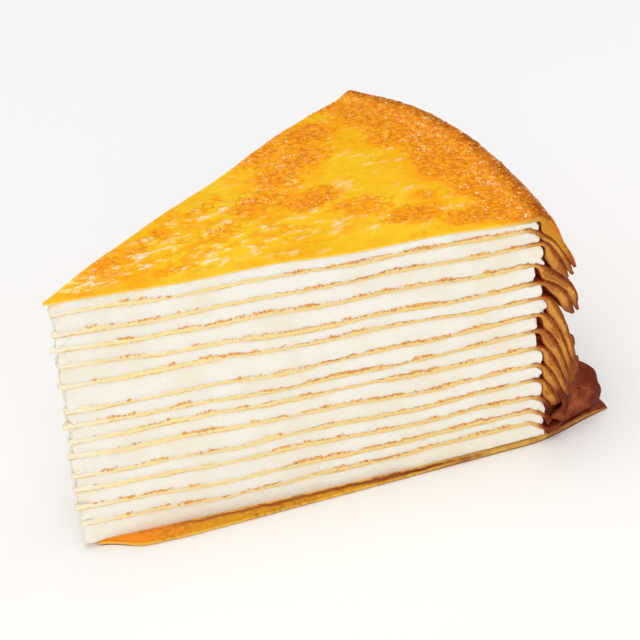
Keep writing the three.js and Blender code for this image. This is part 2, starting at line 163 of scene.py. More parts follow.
# the overhangs: each crepe hangs over the rim and lies on the one below it
overhangs = {
    "step": 0.4,
    "sharpestTurn": 8,  # degrees in a step
    "landingRadius": 2.5,
    "pitch": 1.12,  # between the middles of two hanging crepes
    "lowerPitch": 1.3,
    "upper": [  # length, start, over, steep, curl, curlAt
        (20.4, 5.2, 1.9, 66, 22, 9.8), (18.6, 2.4, 3.0, 63, 16, 12), (16.4, 5.0, 1.6, 62, 16, 11),
        (20.3, 3.4, 1.6, 44.5, 44, 12.5), (17.0, 4.4, 2.8, 44, 30, 8.5),
    ],
    "lower": (4.6, 3.2, 76, 24, 15),  # start, over, steep, curl, curlAt
    "folded": (5.0, 3.0, 36, 40, 18),
    "turnSooner": 0.4,  # each lower crepe turns down this much before the one above it
    "lowerLengths": [24.5, 22.0, 20.5, 19.5, 20.0, 23.5, 22.5, 21.5, 21.0],
    "lowerCutLengths": [30, 30, 20, 18.5, 14, 12, 7.5, 8, 9],
    "lowerRetreats": [0, 0, 0.04, 0.04, 0.02, 0.1, 0.11, 0.12, 0.12],
    "retreatOver": 3,
    "firstFolded": 9,
    "foldShares": [0.25, 0.67, 1, 1, 1, 1],
    "folds": [  # angle, width, height
        (-15.7, 2.6, 1.0), (-5.0, 3.2, 0.55), (5.5, 3.6, 0.9), (16.5, 3.0, 0.7),
    ],
    "foldUneven": 0.4,
    "lift": 4,
    "liftLength": 1.4,
    "curlLength": 6,
    "hemWave": (11, 3, 5, 3, 1.9),  # slowest, faster by kind, mixer, kinds, shift by layer
    "wavyFrom": (-20, -16),  # even at the near cut, wavy further in
    "unevenTurn": 5,
    "unevenFrom": (7, 14),
    "unevenLength": 0.8,
    "ruffles": [(0.55, (34, 5, 7, 4, 2.7)), (0.45, (19, 4, 3, 5, 1.3))],  # share and wave of each
    "ruffledFrom": (-14, -4),
    "ruffleTurn": 9,  # the thin hems ruffle by this many degrees
    "ruffleFrom": (9, 18),
    "rimBias": 1.15,
    "columns": 150,
    "topHalves": [(1.0, 0, 0.2), (0.48, 0.25, 0.6), (0.25, 0.85, 1)],  # reached between these shares
    "outerHalves": [(0.6, 0, 0.2), (0.48, 0.25, 0.6), (0.25, 0.85, 1)],
    "thickest": [2.6, 2.0, 2.2, 2.4, 1.8, 2.2, 2.2, 2.0, 2.0, 4.0, 2.4, 1.4, 0.8, 0.8],
    "thinnest": 0.35,
    "aboveBase": 0.6,  # no hem comes lower over the lowest crepe
    "outerBelow": 0.5,  # about the outer half of the crepe below
    "seam": 0.04,  # air left where a crepe has sunk on to the one below
    "hemTaper": 1.6,  # the hem thins out over this length
    "hollow": (0.8, 4.4),  # the hollow past the cream's end closes over this stretch
    "behindCut": (0.3, 2.5, 1.5),  # it closes sooner behind the near cut: from, to (degrees), by where
    "fuller": 1.7,
    "coverLayer": 10,  # its hem is drawn down over the fold beside the near cut
    "cover": (-16.5, 7.0, 8.0, 5.0),  # angle, half width, longer by, shorter by at the flank
    "coverCurl": 20,
    "coverCurlFrom": (16, 22),
    "flank": (-19.2, -17.0),  # beside the cut the crepes under it end short
    "flankShorter": 10.0,
    "coveredShorter": 2.5,
}
upperCount = len(overhangs["upper"])


def ofLower(layer, label, otherwise):
    return overhangs[label][layer - 1 - upperCount] if layer > upperCount else otherwise


def angleAt(share):
    return -halfAngle + 2 * halfAngle * share ** overhangs["rimBias"]


def foldAt(angle):
    total = sum(height * np.exp(-((angle - at) / width) ** 2) for at, width, height in overhangs["folds"])
    return np.minimum(total, 1)


def wobble(layer, angle, slowest, faster, mixer, kinds, shift):
    # a wave round the rim, of another length and place on each layer
    return np.sin(np.radians(angle) * (slowest + faster * (layer * mixer % kinds)) + layer * shift)


def hemWave(layer, angle):
    return smooth(angle, *overhangs["wavyFrom"]) * wobble(layer, angle, *overhangs["hemWave"])


def ruffle(layer, angle):
    waves = sum(share * wobble(layer, angle, *wave) for share, wave in overhangs["ruffles"])
    return smooth(angle, *overhangs["ruffledFrom"]) * waves


def turnOf(start, over, steep, curl, curlAt, along):
    turned = np.where(along > start, steep * (1 - np.exp(-np.maximum(along - start, 0) / over)), 0)
    return turned + curl * smooth(along, curlAt, curlAt + overhangs["curlLength"])


def covering(angle):
    at, width = overhangs["cover"][:2]
    return np.exp(-((angle - at) / width) ** 4)


def overhangTurn(layer, along, angle):
    # degrees by which a hanging crepe has turned down, this far along it
    uneven = overhangs["unevenTurn"] * hemWave(layer, angle) * smooth(along, *overhangs["unevenFrom"])
    ruffled = overhangs["ruffleTurn"] * ruffle(layer, angle) * smooth(along, *overhangs["ruffleFrom"])
    uneven = uneven + ruffled
    if layer <= upperCount:
        return turnOf(*overhangs["upper"][layer - 1][1:], along) + uneven
    lift = -overhangs["lift"] * np.exp(-((along - wedge["overhangStart"]) / overhangs["liftLength"]) ** 2)
    sooner = overhangs["turnSooner"] * (layer - 1 - upperCount)
    hanging = turnOf(*overhangs["lower"], along + sooner) + uneven
    place = layer - overhangs["firstFolded"]
    folded = overhangs["foldShares"][place] * foldAt(angle) if place >= 0 else 0 * angle
    inFold = turnOf(*overhangs["folded"], along) + overhangs["foldUneven"] * uneven
    turned = lift + mix(hanging, inFold, folded)
    if layer == overhangs["coverLayer"]:
        curled = smooth(along, *overhangs["coverCurlFrom"])
        turned = turned + overhangs["coverCurl"] * covering(angle) * curled
    return turned


def overhangLength(layer, angle):
    length = overhangs["upper"][layer - 1][0] if layer <= upperCount else ofLower(layer, "lowerLengths", 0)
    flank = 1 - smooth(angle, *overhangs["flank"])
    longer, shorter = overhangs["cover"][2:]
    if layer == overhangs["coverLayer"]:
        length = length + longer * covering(angle) - shorter * flank
    elif layer > overhangs["coverLayer"]:
        covered = overhangs["coveredShorter"] * covering(angle)
        length = length - mix(covered, overhangs["flankShorter"], flank)
    return length + overhangs["unevenLength"] * hemWave(layer + 3, angle)


def outerHalf(layer, share):
    # from a hanging crepe's middle line to its fried side
    half = halfCrepe
    for goal, start, end in overhangs["topHalves" if layer == 1 else "outerHalves"]:
        half = mix(half, goal, smooth(share, start, end))
    return half


def clearance(points, curves):
    # distance of each point from its own column's curve, positive outside, and the way out
    start = curves[:, :-1]
    edge = curves[:, 1:] - start
    offset = points[:, None] - start
    lengths = np.maximum((edge ** 2).sum(2), 1e-12)
    share = np.clip((offset * edge).sum(2) / lengths, 0, 1)
    away = offset - edge * share[..., None]
    distance = np.hypot(away[..., 0], away[..., 1])
    nearest = distance.argmin(1)
    rows = np.arange(len(points))
    awayHere = away[rows, nearest]
    edgeHere = edge[rows, nearest] / np.sqrt(lengths[rows, nearest])[:, None]
    wayOut = np.stack([-edgeHere[:, 1], edgeHere[:, 0]], 1)
    pastHem = (nearest == curves.shape[1] - 2) & (share[rows, nearest] >= 1)
    span = np.maximum(distance[rows, nearest], 1e-9)[:, None]
    wayOut = np.where(pastHem[:, None], awayHere / span, wayOut)
    return (awayHere * wayOut).sum(1), wayOut


def landingTurn(signed, wayOut, pitch):
    # the steepest turn that still comes down softly on the crepe below
    room = np.maximum(signed - pitch, 0)
    bend = np.arccos(1 - np.minimum(room / overhangs["landingRadius"], 2))
    return np.arctan2(wayOut[:, 0], wayOut[:, 1]) + bend


def stackEnd(angle):
    return creamEnd(angle) * stackLast / wedge["creamEndNear"]


def evenedOut(rows):
    # neighbours pull on each other a little
    padded = np.concatenate([rows[:1], rows, rows[-1:]])
    return mix(rows, (padded[:-2] + padded[2:]) / 2, 0.5)


def drapeCurves(layer, angles, below):
    stepCount = math.ceil(overhangLength(layer, angles).max() / overhangs["step"])
    steps = overhangLength(layer, angles) / stepCount
    pitch = overhangs["pitch" if layer <= upperCount else "lowerPitch"]
    place = np.stack([stackEnd(angles), crepeMiddle(layer, stackLast, angles)], 1)
    curve = [place]
    turn = np.zeros(len(angles))
    for step in range(1, stepCount + 1):
        signed, wayOut = clearance(place, below)
        wanted = np.radians(overhangTurn(layer, step * steps, angles))
        turn = np.minimum(wanted, turn + math.radians(overhangs["sharpestTurn"]))
        turn = np.minimum(turn, landingTurn(signed, wayOut, pitch))
        move = np.stack([np.cos(turn), -np.sin(turn)], 1) * steps[:, None]
        for attempt in range(5):
            signed, wayOut = clearance(place + move, below)
            move = move + wayOut * np.maximum(pitch - signed, 0)[:, None]
            move = move * (steps / np.hypot(move[:, 0], move[:, 1]))[:, None]
        turn = np.arctan2(-move[:, 1], move[:, 0])
        place = place + move
        place[:, 1] = np.maximum(place[:, 1], baseThickness[2] + overhangs["aboveBase"])
        curve.append(place)
    return evenedOut(np.stack(curve, 1))


def innerHalves(layer, curves, below, angles):
    # from a hanging crepe's middle line to its underside: it has sunk on to the crepe below where it can
    stepCount = curves.shape[1] - 1
    length = overhangLength(layer, -halfAngle)
    reach = creamLayers[layer - 1][3]
    halves = []
    start, end, closingBehind = overhangs["behindCut"]
    behind = smooth(angles + halfAngle, start, end)
    opening = mix(overhangs["hollow"][0], 0, behind)
    closing = mix(overhangs["hollow"][1], closingBehind, behind)
    thickest = overhangs["thickest"][layer - 1] * mix(1, overhangs["fuller"], behind)
    for step in range(stepCount + 1):
        along = step / stepCount * length
        room = clearance(curves[:, step], below)[0] - overhangs["outerBelow"] - overhangs["seam"]
        sunk = np.clip(room, overhangs["thinnest"], thickest)
        full = mix(halfCrepe, sunk, smooth(along, reach + opening, reach + closing))
        taper = smooth(along, length - overhangs["hemTaper"], length)
        halves.append(mix(full, np.minimum(full, overhangs["thinnest"]), taper))
    halves = np.stack(halves)
    for attempt in range(3):
        halves = evenedOut(halves)
    return halves.T


def drapeAllCrepes(angles):
    drapes, insides = {}, {}
    height = np.full(len(angles), baseThickness[2] - halfCrepe)
    startFlat = stackEnd(angles) - 2 * wedge["overhangStart"]
    endFlat = creamEnd(angles) + wedge["baseReach"]
    below = np.stack([np.stack([startFlat, height], 1), np.stack([endFlat, height], 1)], 1)
    for layer in range(creamCount, 0, -1):
        drapes[layer] = drapeCurves(layer, angles, below)
        insides[layer] = innerHalves(layer, drapes[layer], below, angles)
        front = drapes[layer][:, :1] - np.array([2 * wedge["overhangStart"], 0])
        below = np.concatenate([front, drapes[layer]], 1)
    return drapes, insides


rimShares = np.linspace(0, 1, overhangs["columns"] + 1)
drapes, insides = drapeAllCrepes(angleAt(rimShares))
print("overhangs draped:", len(drapes))


# meshes: rings of points across the slice, from the tip outwards, closed into a solid
def polar(distance, angle, height):
    turned = np.radians(angle)
    return np.stack([wedge["tipX"] + distance * np.cos(turned), distance * np.sin(turned),
                     height + 0 * turned], -1)


def zipRings(inner, outer, innerShares, outerShares):
    # triangles between two rings of different numbers of points, facing up
    places = np.concatenate([innerShares[1:], outerShares[1:]])
    isInner = np.concatenate([np.ones(len(innerShares) - 1, bool), np.zeros(len(outerShares) - 1, bool)])
    order = np.argsort(places + np.where(isInner, 0, 1e-9), kind="stable")
    isInner = isInner[order]
    innerDone = np.cumsum(isInner) - isInner
    outerDone = np.cumsum(~isInner) - ~isInner
    third = np.where(isInner, inner[np.minimum(innerDone + 1, len(inner) - 1)],
                     outer[np.minimum(outerDone + 1, len(outer) - 1)])
    return np.stack([inner[innerDone], outer[outerDone], third], 1)


def rounding(row):
    # how far a cut edge stands out, from its upper corner (row 0) to its lower one (row 1)
    return 1 - (2 * row - 1) ** 4


def closedSolid(upper, lower, shares, beltRows, beltBulge):
    # upper and lower: lists of rings of points; returns points, triangles, skin (1 on top), ring number
    counts = np.array([len(ring) for ring in shares])
    starts = np.concatenate([[0], np.cumsum(counts)])
    total = starts[-1]
    top, bottom = np.concatenate(upper), np.concatenate(lower)
    rings = [np.arange(starts[i], starts[i + 1]) for i in range(len(counts))]
    upperFaces = np.concatenate([zipRings(rings[i], rings[i + 1], shares[i], shares[i + 1])
                                 for i in range(len(rings) - 1)])
    near = np.array([ring[0] for ring in rings])
    far = np.array([ring[-1] for ring in rings])
    loop = np.concatenate([near, rings[-1][1:-1], far[::-1], rings[0][1:-1][::-1]])
    loopCount = len(loop)
    middle = (top + bottom) / 2
    outward = np.cross(middle[np.roll(loop, -1)] - middle[np.roll(loop, 1)], top[loop] - bottom[loop])
    outward = outward / np.maximum(np.linalg.norm(outward, axis=1), 1e-9)[:, None]
    rows, beltPoints, beltSkin = [loop], [], []
    for row in range(1, beltRows):
        share = row / beltRows
        beltPoints.append(mix(top[loop], bottom[loop], share))
        beltSkin.append(np.full(loopCount, 1 - share))
        rows.append(2 * total + (row - 1) * loopCount + np.arange(loopCount))
    rows.append(loop + total)
    points = np.concatenate([top, bottom] + beltPoints)
    for row, indices in enumerate(rows):
        points[indices] += outward * beltBulge(points[indices], row / beltRows)[:, None]
    nextOne = np.roll(np.arange(loopCount), -1)
    faces = [upperFaces, upperFaces[:, ::-1] + total]
    for a, b in zip(rows, rows[1:]):
        faces += [np.stack([a, b, b[nextOne]], 1), np.stack([a, b[nextOne], a[nextOne]], 1)]
    ringNumber = np.repeat(np.arange(len(rings)), counts)
    return {"points": points, "triangles": np.concatenate(faces),
            "skin": np.concatenate([np.ones(total), np.zeros(total)] + beltSkin),
            "ring": np.concatenate([ringNumber, ringNumber] + [ringNumber[loop]] * (beltRows - 1))}


slump = {"share": 0.022, "from": (90, 106), "angles": (9, 20)}  # the far corner has sunk a little


def slumped(points):
    distance, angle = fromTip(points)
    lowered = points.copy()
    lowered[:, 2] *= 1 - slump["share"] * smooth(distance, *slump["from"]) * smooth(angle, *slump["angles"])
    return lowered


def newPiece(name, mesh):
    piece = bpy.data.objects.new(name, mesh)
    bpy.context.scene.collection.objects.link(piece)
    return piece


def meshFrom(name, solid, attributes):
    points = (slumped(solid["points"]) * mm).astype(np.float32)
    triangles = solid["triangles"].astype(np.int32)
    mesh = bpy.data.meshes.new(name)
    mesh.vertices.add(len(points))
    mesh.vertices.foreach_set("co", points.ravel())
    mesh.loops.add(triangles.size)
    mesh.loops.foreach_set("vertex_index", triangles.ravel())
    mesh.polygons.add(len(triangles))
    mesh.polygons.foreach_set("loop_start", np.arange(0, triangles.size, 3, dtype=np.int32))
    mesh.polygons.foreach_set("use_smooth", np.ones(len(triangles), bool))
    mesh.update(calc_edges=True)
    for label, values in attributes.items():
        values = np.asarray(values, np.float32)
        isVector = values.ndim == 2
        layer = mesh.attributes.new(label, "FLOAT_VECTOR" if isVector else "FLOAT", "POINT")
        layer.data.foreach_set("vector" if isVector else "value", values.ravel())
    return newPiece(name, mesh)


def endCluster(count):
    # shares across the slice, closer together towards both cuts
    return 0.5 - 0.5 * np.cos(np.pi * np.linspace(0, 1, count + 1))


def stackRing(distance, shares, heightAt):
    angle = -halfAngle + 2 * halfAngle * shares
    radius = distance * creamEnd(angle) / wedge["creamEndNear"]
    return polar(radius, angle, heightAt(distance, angle)), angle


def crepeRing(layer, distance, shares):
    return stackRing(distance, shares, lambda d, a: crepeMiddle(layer, d, a))


def curveAt(layer, along, shares):
    # an overhang a share of its length along: distance, height, way out (two values) and inner half
    curves, halves = drapes[layer], insides[layer]
    last = curves.shape[1] - 1
    place = min(along * last, last - 1e-6)
    index = int(place)
    here = mix(curves[:, index], curves[:, index + 1], place - index)
    inside = mix(halves[:, index], halves[:, index + 1], place - index)
    span = curves[:, min(index + 2, last)] - curves[:, max(index - 1, 0)]
    span = span / np.hypot(span[:, 0], span[:, 1])[:, None]
    return [np.interp(shares, rimShares, values)
            for values in (here[:, 0], here[:, 1], -span[:, 1], span[:, 0], inside)]


# the crepes inside
crepes = {
    "ringStep": 0.34,
    "tips": [0.4, 1.6, 1.3, 0.5, 1.4, 1.0, 1.7, 0.9, 1.5, 0.8, 1.2, 1.1, 0.9, 1.4],
    "thickness": (1.2, 1.2, 1.25),  # at the tip, half way, at the rim
    "topThickness": 0.7,  # the glazed one is thinner at the cut
    "thicknessNoise": 0.42,
    "evenFrom": (86, 94),
    "proud": 0.05,  # the crepes stand this far out of the cream at a cut
    "cutNoise": 0.06,
    "beltRows": 5,
    "roundEdge": 0.08,
    "relief": {"Bubble Height": 1.5 * mm, "Bubble Size": 1.1 * mm, "Wrinkle Height": 0.5 * mm,
               "Wrinkle Size": 2.0 * mm, "Wrinkle Stretch": 1.0},
    "firstSeed": 10.0,
    "lowest": 12,
    "inFold": (104, 107.5),  # painted shade in the fold from here on
    "lowestFoldShade": (98.5, 101.5),
    "foldShadeFade": (-11, -5),
}


def crepeHalves(layer, distance, angle):
    # from the middle of a crepe in the stack up to its fried side and down to its underside
    full = halfCrepe + 0 * angle
    toRim = smooth(distance, *crepes["evenFrom"])
    if layer == 1:
        return full, mix(crepes["topThickness"] - full, full, toRim)
    atTip, halfWay, atRim = crepes["thickness"]
    spread = mix(mix(atTip, halfWay, smooth(distance, 0, 50)), atRim, smooth(distance, 50, 94))
    spot = spotOf(distance, angle * 1.2, 31.0 * layer)
    uneven = crepes["thicknessNoise"] * (softNoise(spot, 9, 3) + 0.6 * softNoise(spot, 3.5, 4))
    half = mix((spread + uneven) / 2, full, toRim)
    return half, half


def crepeSolid(layer, ringStep, sharesAt):
    upper, lower, shares, lifts, along = [], [], [], [], []
    tip = crepes["tips"][layer - 1]
    for distance in np.linspace(tip, stackLast, int((stackLast - tip) / ringStep) + 1):
        across = sharesAt(distance)
        middle, angle = crepeRing(layer, distance, across)
        up, down = crepeHalves(layer, distance, angle)
        upper.append(middle + np.stack([0 * up, 0 * up, up], -1))
        lower.append(middle - np.stack([0 * up, 0 * up, down], -1))
        shares.append(across)
        lifts.append(np.tile([0.0, 0.0, 1.0], (len(across), 1)))
        along.append(distance)
    length = overhangLength(layer, -halfAngle)
    ringCount = int(length / ringStep)
    retreatBy = ofLower(layer, "lowerRetreats", 0)
    cutLength = ofLower(layer, "lowerCutLengths", 30)
    for share in np.arange(1, ringCount + 1) / ringCount:
        drawn = retreatBy * smooth(share * length, cutLength, cutLength + overhangs["retreatOver"])
        place = np.minimum(rimShares + drawn * (1 - rimShares) ** 4, 1)
        r, z, outR, outZ, inside = curveAt(layer, share, place)
        angle = angleAt(place)
        half = outerHalf(layer, share)
        turned = np.radians(angle)
        upper.append(polar(r + half * outR, angle, z + half * outZ))
        lower.append(polar(r - inside * outR, angle, z - inside * outZ))
        shares.append(rimShares)
        lifts.append(np.stack([outR * np.cos(turned), outR * np.sin(turned), outZ], -1))
        along.append(stackLast + share * length)

    def cutFace(points, row):
        fine = softNoise(points, 0.9, 11) * 0.5 + softNoise(points, 3.5, 12)
        standing = crepes["proud"] - crepes["roundEdge"] + crepes["roundEdge"] * rounding(row)
        return standing + crepes["cutNoise"] * fine

    solid = closedSolid(upper, lower, shares, crepes["beltRows"], cutFace)
    onTop = np.concatenate(lifts)
    ringLift = np.array([ring[0] for ring in lifts])
    solid["lift"] = ringLift[solid["ring"]] * solid["skin"][:, None]
    solid["lift"][:len(onTop)] = onTop
    solid["along"] = np.array(along)[solid["ring"]]
    solid["toHem"] = stackLast + length - solid["along"]
    return solid


class Wires:
    # small helpers for one node tree, which take colours by their names in a look
    def __init__(self, tree, look=None):
        self.nodes, self.links, self.look = tree.nodes, tree.links, look

    def put(self, socket, value):
        if isinstance(value, bpy.types.NodeSocket):
            self.links.new(value, socket)
        else:
            socket.default_value = value

    def add(self, kind, settings=None, **inputs):
        node = self.nodes.new(kind)
        for label, value in (settings or {}).items():
            setattr(node, label, value)
        for label, value in inputs.items():
            self.put(node.inputs[label.replace("_", " ")], value)
        return node

    def calc(self, operation, *values, kind="ShaderNodeMath"):
        node = self.add(kind, {"operation": operation})
        for slot, value in enumerate(values):
            self.put(node.inputs[slot], value)
        return node.outputs[0]

    def plus(self, one, two):
        return self.calc("ADD", one, two)

    def minus(self, one, two):
        return self.calc("SUBTRACT", one, two)

    def times(self, one, two):
        return self.calc("MULTIPLY", one, two)

    def between(self, value, low, high, toLow=0.0, toHigh=1.0):
        return self.add("ShaderNodeMapRange", {"interpolation_type": "SMOOTHSTEP"}, Value=value,
                        From_Min=low, From_Max=high, To_Min=toLow, To_Max=toHigh).outputs["Result"]

    def blend(self, share, one, two):
        node = self.add("ShaderNodeMix", {"data_type": "RGBA"})
        for slot, value in ((0, share), (6, one), (7, two)):
            self.put(node.inputs[slot], self.look[value] if isinstance(value, str) else value)
        return node.outputs[2]

    def layered(self, colour, *coats):
        # each coat is a share and a colour that lies over what is there
        for share, over in coats:
            colour = self.blend(share, colour, over)
        return colour

    def noise(self, vector, scale, detail=2.0, roughness=0.5, distortion=0.0, settings=None, **more):
        return self.add("ShaderNodeTexNoise", settings, Vector=vector, Scale=scale, Detail=detail,
                        Roughness=roughness, Distortion=distortion, **more).outputs["Fac"]

    def named(self, label):
        # an attribute in a material
        return self.add("ShaderNodeAttribute", {"attribute_name": label}).outputs["Fac"]

    def stored(self, label, kind="FLOAT"):
        # an attribute in a geometry tree
        node = self.add("GeometryNodeInputNamedAttribute", {"data_type": kind}, Name=label)
        return node.outputs["Attribute"]

    def placed(self, group, label, **inputs):
        # an effect's node group with the values that the look has for it
        return self.add("ShaderNodeGroup", {"node_tree": group}, **self.look[label], **inputs).outputs

    def painted(self, result, geometry, material):
        # how each geometry tree ends
        realize = self.add("GeometryNodeRealizeInstances", Geometry=geometry)
        paint = self.add("GeometryNodeSetMaterial", Geometry=realize.outputs[0], Material=material)
        self.put(result["Geometry"], paint.outputs[0])


def newGroup(name, treeKind, inputs, outputs):
    # inputs and outputs: the kind of each named socket
    tree = bpy.data.node_groups.new(name, treeKind)
    for way, sockets in (("INPUT", inputs), ("OUTPUT", outputs)):
        for label, kind in sockets.items():
            tree.interface.new_socket(name=label, in_out=way, socket_type="NodeSocket" + kind)
    w = Wires(tree)
    return tree, w, w.add("NodeGroupInput").outputs, w.add("NodeGroupOutput").inputs


# relief of the fried side: bubbles and blisters lift it, wrinkles run along the slice
def reliefTree():
    tree, w, given, result = newGroup("friedSideRelief", "GeometryNodeTree", {
        "Geometry": "Geometry", "Bubble Height": "Float", "Bubble Size": "Float", "Wrinkle Height": "Float",
        "Wrinkle Size": "Float", "Wrinkle Stretch": "Float", "Seed": "Float", "Material": "Material",
    }, {"Geometry": "Geometry"})
    position = w.add("GeometryNodeInputPosition").outputs[0]
    wrinkled = w.stored("wrinkled")
    seeded = {"noise_dimensions": "4D"}
    bubbleScale = w.calc("DIVIDE", 1.0, given["Bubble Size"])
    cells = w.add("ShaderNodeTexVoronoi", {"voronoi_dimensions": "4D", "feature": "SMOOTH_F1"},
                  Vector=position, Scale=bubbleScale, W=given["Seed"], Smoothness=0.6)
    domes = w.minus(0.75, cells.outputs["Distance"])
    patches = w.noise(position, w.times(bubbleScale, 0.3), 3, 0.6, 0.0, seeded, W=given["Seed"])
    bubbly = w.calc("MAXIMUM", w.times(w.minus(patches, 0.36), 3.5), 0.0)
    bubbles = w.times(w.times(domes, bubbly), given["Bubble Height"])
    bubbles = w.times(bubbles, w.stored("bubbly"))
    stretch = w.add("ShaderNodeCombineXYZ", X=given["Wrinkle Stretch"], Y=1.0, Z=1.0).outputs[0]
    stretched = w.calc("MULTIPLY", position, stretch, kind="ShaderNodeVectorMath")
    foldScale = w.calc("DIVIDE", 1.0, given["Wrinkle Size"])
    folds = w.minus(w.noise(stretched, foldScale, 4, 0.5, 0.8, seeded, W=given["Seed"]), 0.5)
    wrinkle = w.times(w.times(w.times(folds, 2.0), given["Wrinkle Height"]), wrinkled)
    store = w.add("GeometryNodeStoreNamedAttribute", Geometry=given["Geometry"], Name="crest",
                  Value=w.times(folds, wrinkled))
    offset = w.add("ShaderNodeVectorMath", {"operation": "SCALE"}, Vector=w.stored("lift", "FLOAT_VECTOR"),
                   Scale=w.plus(bubbles, wrinkle))
    move = w.add("GeometryNodeSetPosition", Geometry=store.outputs["Geometry"], Offset=offset.outputs[0])
    w.painted(result, move.outputs[0], given["Material"])
    return tree


def grown(piece, tree, values):
    # runs a node tree on a piece and keeps the result as its plain mesh
    modifier = piece.modifiers.new(tree.name, "NODES")
    modifier.node_group = tree
    sockets = {item.name: item.identifier for item in tree.interface.items_tree
               if item.item_type == "SOCKET" and item.in_out == "INPUT"}
    for label, value in values.items():
        modifier[sockets[label]] = value
    piece.update_tag()
    bpy.context.view_layer.update()
    evaluated = piece.evaluated_get(bpy.context.evaluated_depsgraph_get())
    mesh = bpy.data.meshes.new_from_object(evaluated)
    piece.modifiers.remove(modifier)
    old = piece.data
    piece.data = mesh
    bpy.data.meshes.remove(old)
    mesh.name = piece.name
    return piece


# finishes: colours as they look in daylight, each effect that several finishes share in a node group
def tint(red, green, blue):
    channels = [value / 255 for value in (red, green, blue)]
    return tuple(v / 12.92 if v <= 0.04045 else ((v + 0.055) / 1.055) ** 2.4 for v in channels) + (1.0,)


# the lacy brown marks that a hot pan leaves: granules with paler bubbles between them
def makeFriedLace():
    tree, w, given, result = newGroup("friedLace", "ShaderNodeTree", {
        "Vector": "Vector", "Coverage": "Float", "Patch Scale": "Float", "Grain Scale": "Float",
        "Grain Share": "Float",
    }, {"Browning": "Float", "Grain": "Float"})
    patches = w.noise(given["Vector"], given["Patch Scale"], 6.0, 0.62, 0.3)
    cells = w.add("ShaderNodeTexVoronoi", Vector=given["Vector"], Scale=given["Grain Scale"])
    finer = w.noise(given["Vector"], w.times(given["Grain Scale"], 1.6), 3.0, 0.6)
    grain = w.plus(w.times(w.between(cells.outputs["Distance"], 0.15, 0.75), 0.6), w.times(finer, 0.4))
    lifted = w.plus(patches, w.times(w.minus(grain, 0.5), given["Grain Share"]))
    edge = w.minus(1.0, given["Coverage"])
    w.put(result["Browning"], w.between(w.minus(lifted, edge), -0.12, 0.16))
    w.put(result["Grain"], grain)
    return tree


# the pores and crumb of a soft baked or whipped thing, as a height
def makeCrumb():
    tree, w, given, result = newGroup("softCrumb", "ShaderNodeTree", {"Vector": "Vector", "Scale": "Float"},
                                      {"Height": "Float"})
    cells = w.add("ShaderNodeTexVoronoi", {"feature": "SMOOTH_F1"}, Vector=given["Vector"],
                  Scale=given["Scale"])
    rough = w.noise(given["Vector"], w.times(given["Scale"], 0.4), 4.0, 0.6)
    w.put(result["Height"], w.plus(w.times(cells.outputs["Distance"], 0.5), rough))
    return tree


friedLace = makeFriedLace()
softCrumb = makeCrumb()


def newFinish(name, look):
    # look: colours, and under "shader" the constant values of the shader's own sockets
    material = bpy.data.materials.new(name)
    material.use_nodes = True
    material.node_tree.nodes.clear()
    w = Wires(material.node_tree, look)
    surface = w.add("ShaderNodeBsdfPrincipled")
    for label, value in look["shader"].items():
        surface.inputs[label].default_value = value
    w.add("ShaderNodeOutputMaterial", Surface=surface.outputs[0])
    return material, w, surface.inputs, w.add("ShaderNodeTexCoord").outputs["Object"]


def bumped(w, surface, height):
    strength, distance = w.look["bump"]
    bump = w.add("ShaderNodeBump", Strength=strength, Distance=distance, Height=height)
    w.put(surface["Normal"], bump.outputs[0])


glazedLook = {
    "yellow": tint(247, 184, 2), "paleYellow": tint(250, 199, 28), "orange": tint(254, 162, 0),
    "brown": tint(214, 104, 0), "blister": tint(254, 194, 58), "cut": tint(250, 212, 112),
    # sheen: a painted pinkish-white highlight that stands in for the glaze's reflections on the wrinkle
    # crests
    "rimBrown": tint(146, 66, 10), "rimGold": tint(206, 118, 22), "sheen": tint(255, 224, 186),
    "cutRim": tint(204, 138, 34),
    "lace": {"Patch_Scale": 170.0, "Grain_Scale": 720.0, "Grain_Share": 0.7},
    "rimMottle": {"Coverage": 0.5, "Patch_Scale": 160.0, "Grain_Scale": 1400.0, "Grain_Share": 0.35},
    "bump": (0.5, 0.00025),  # strength and depth
    "shader": {"Roughness": 0.45, "Specular IOR Level": 0.05, "Coat Weight": 0.24, "Coat Roughness": 0.16,
               "Subsurface Weight": 0.12, "Subsurface Radius": (0.6, 0.35, 0.1), "Subsurface Scale": 0.002},
}


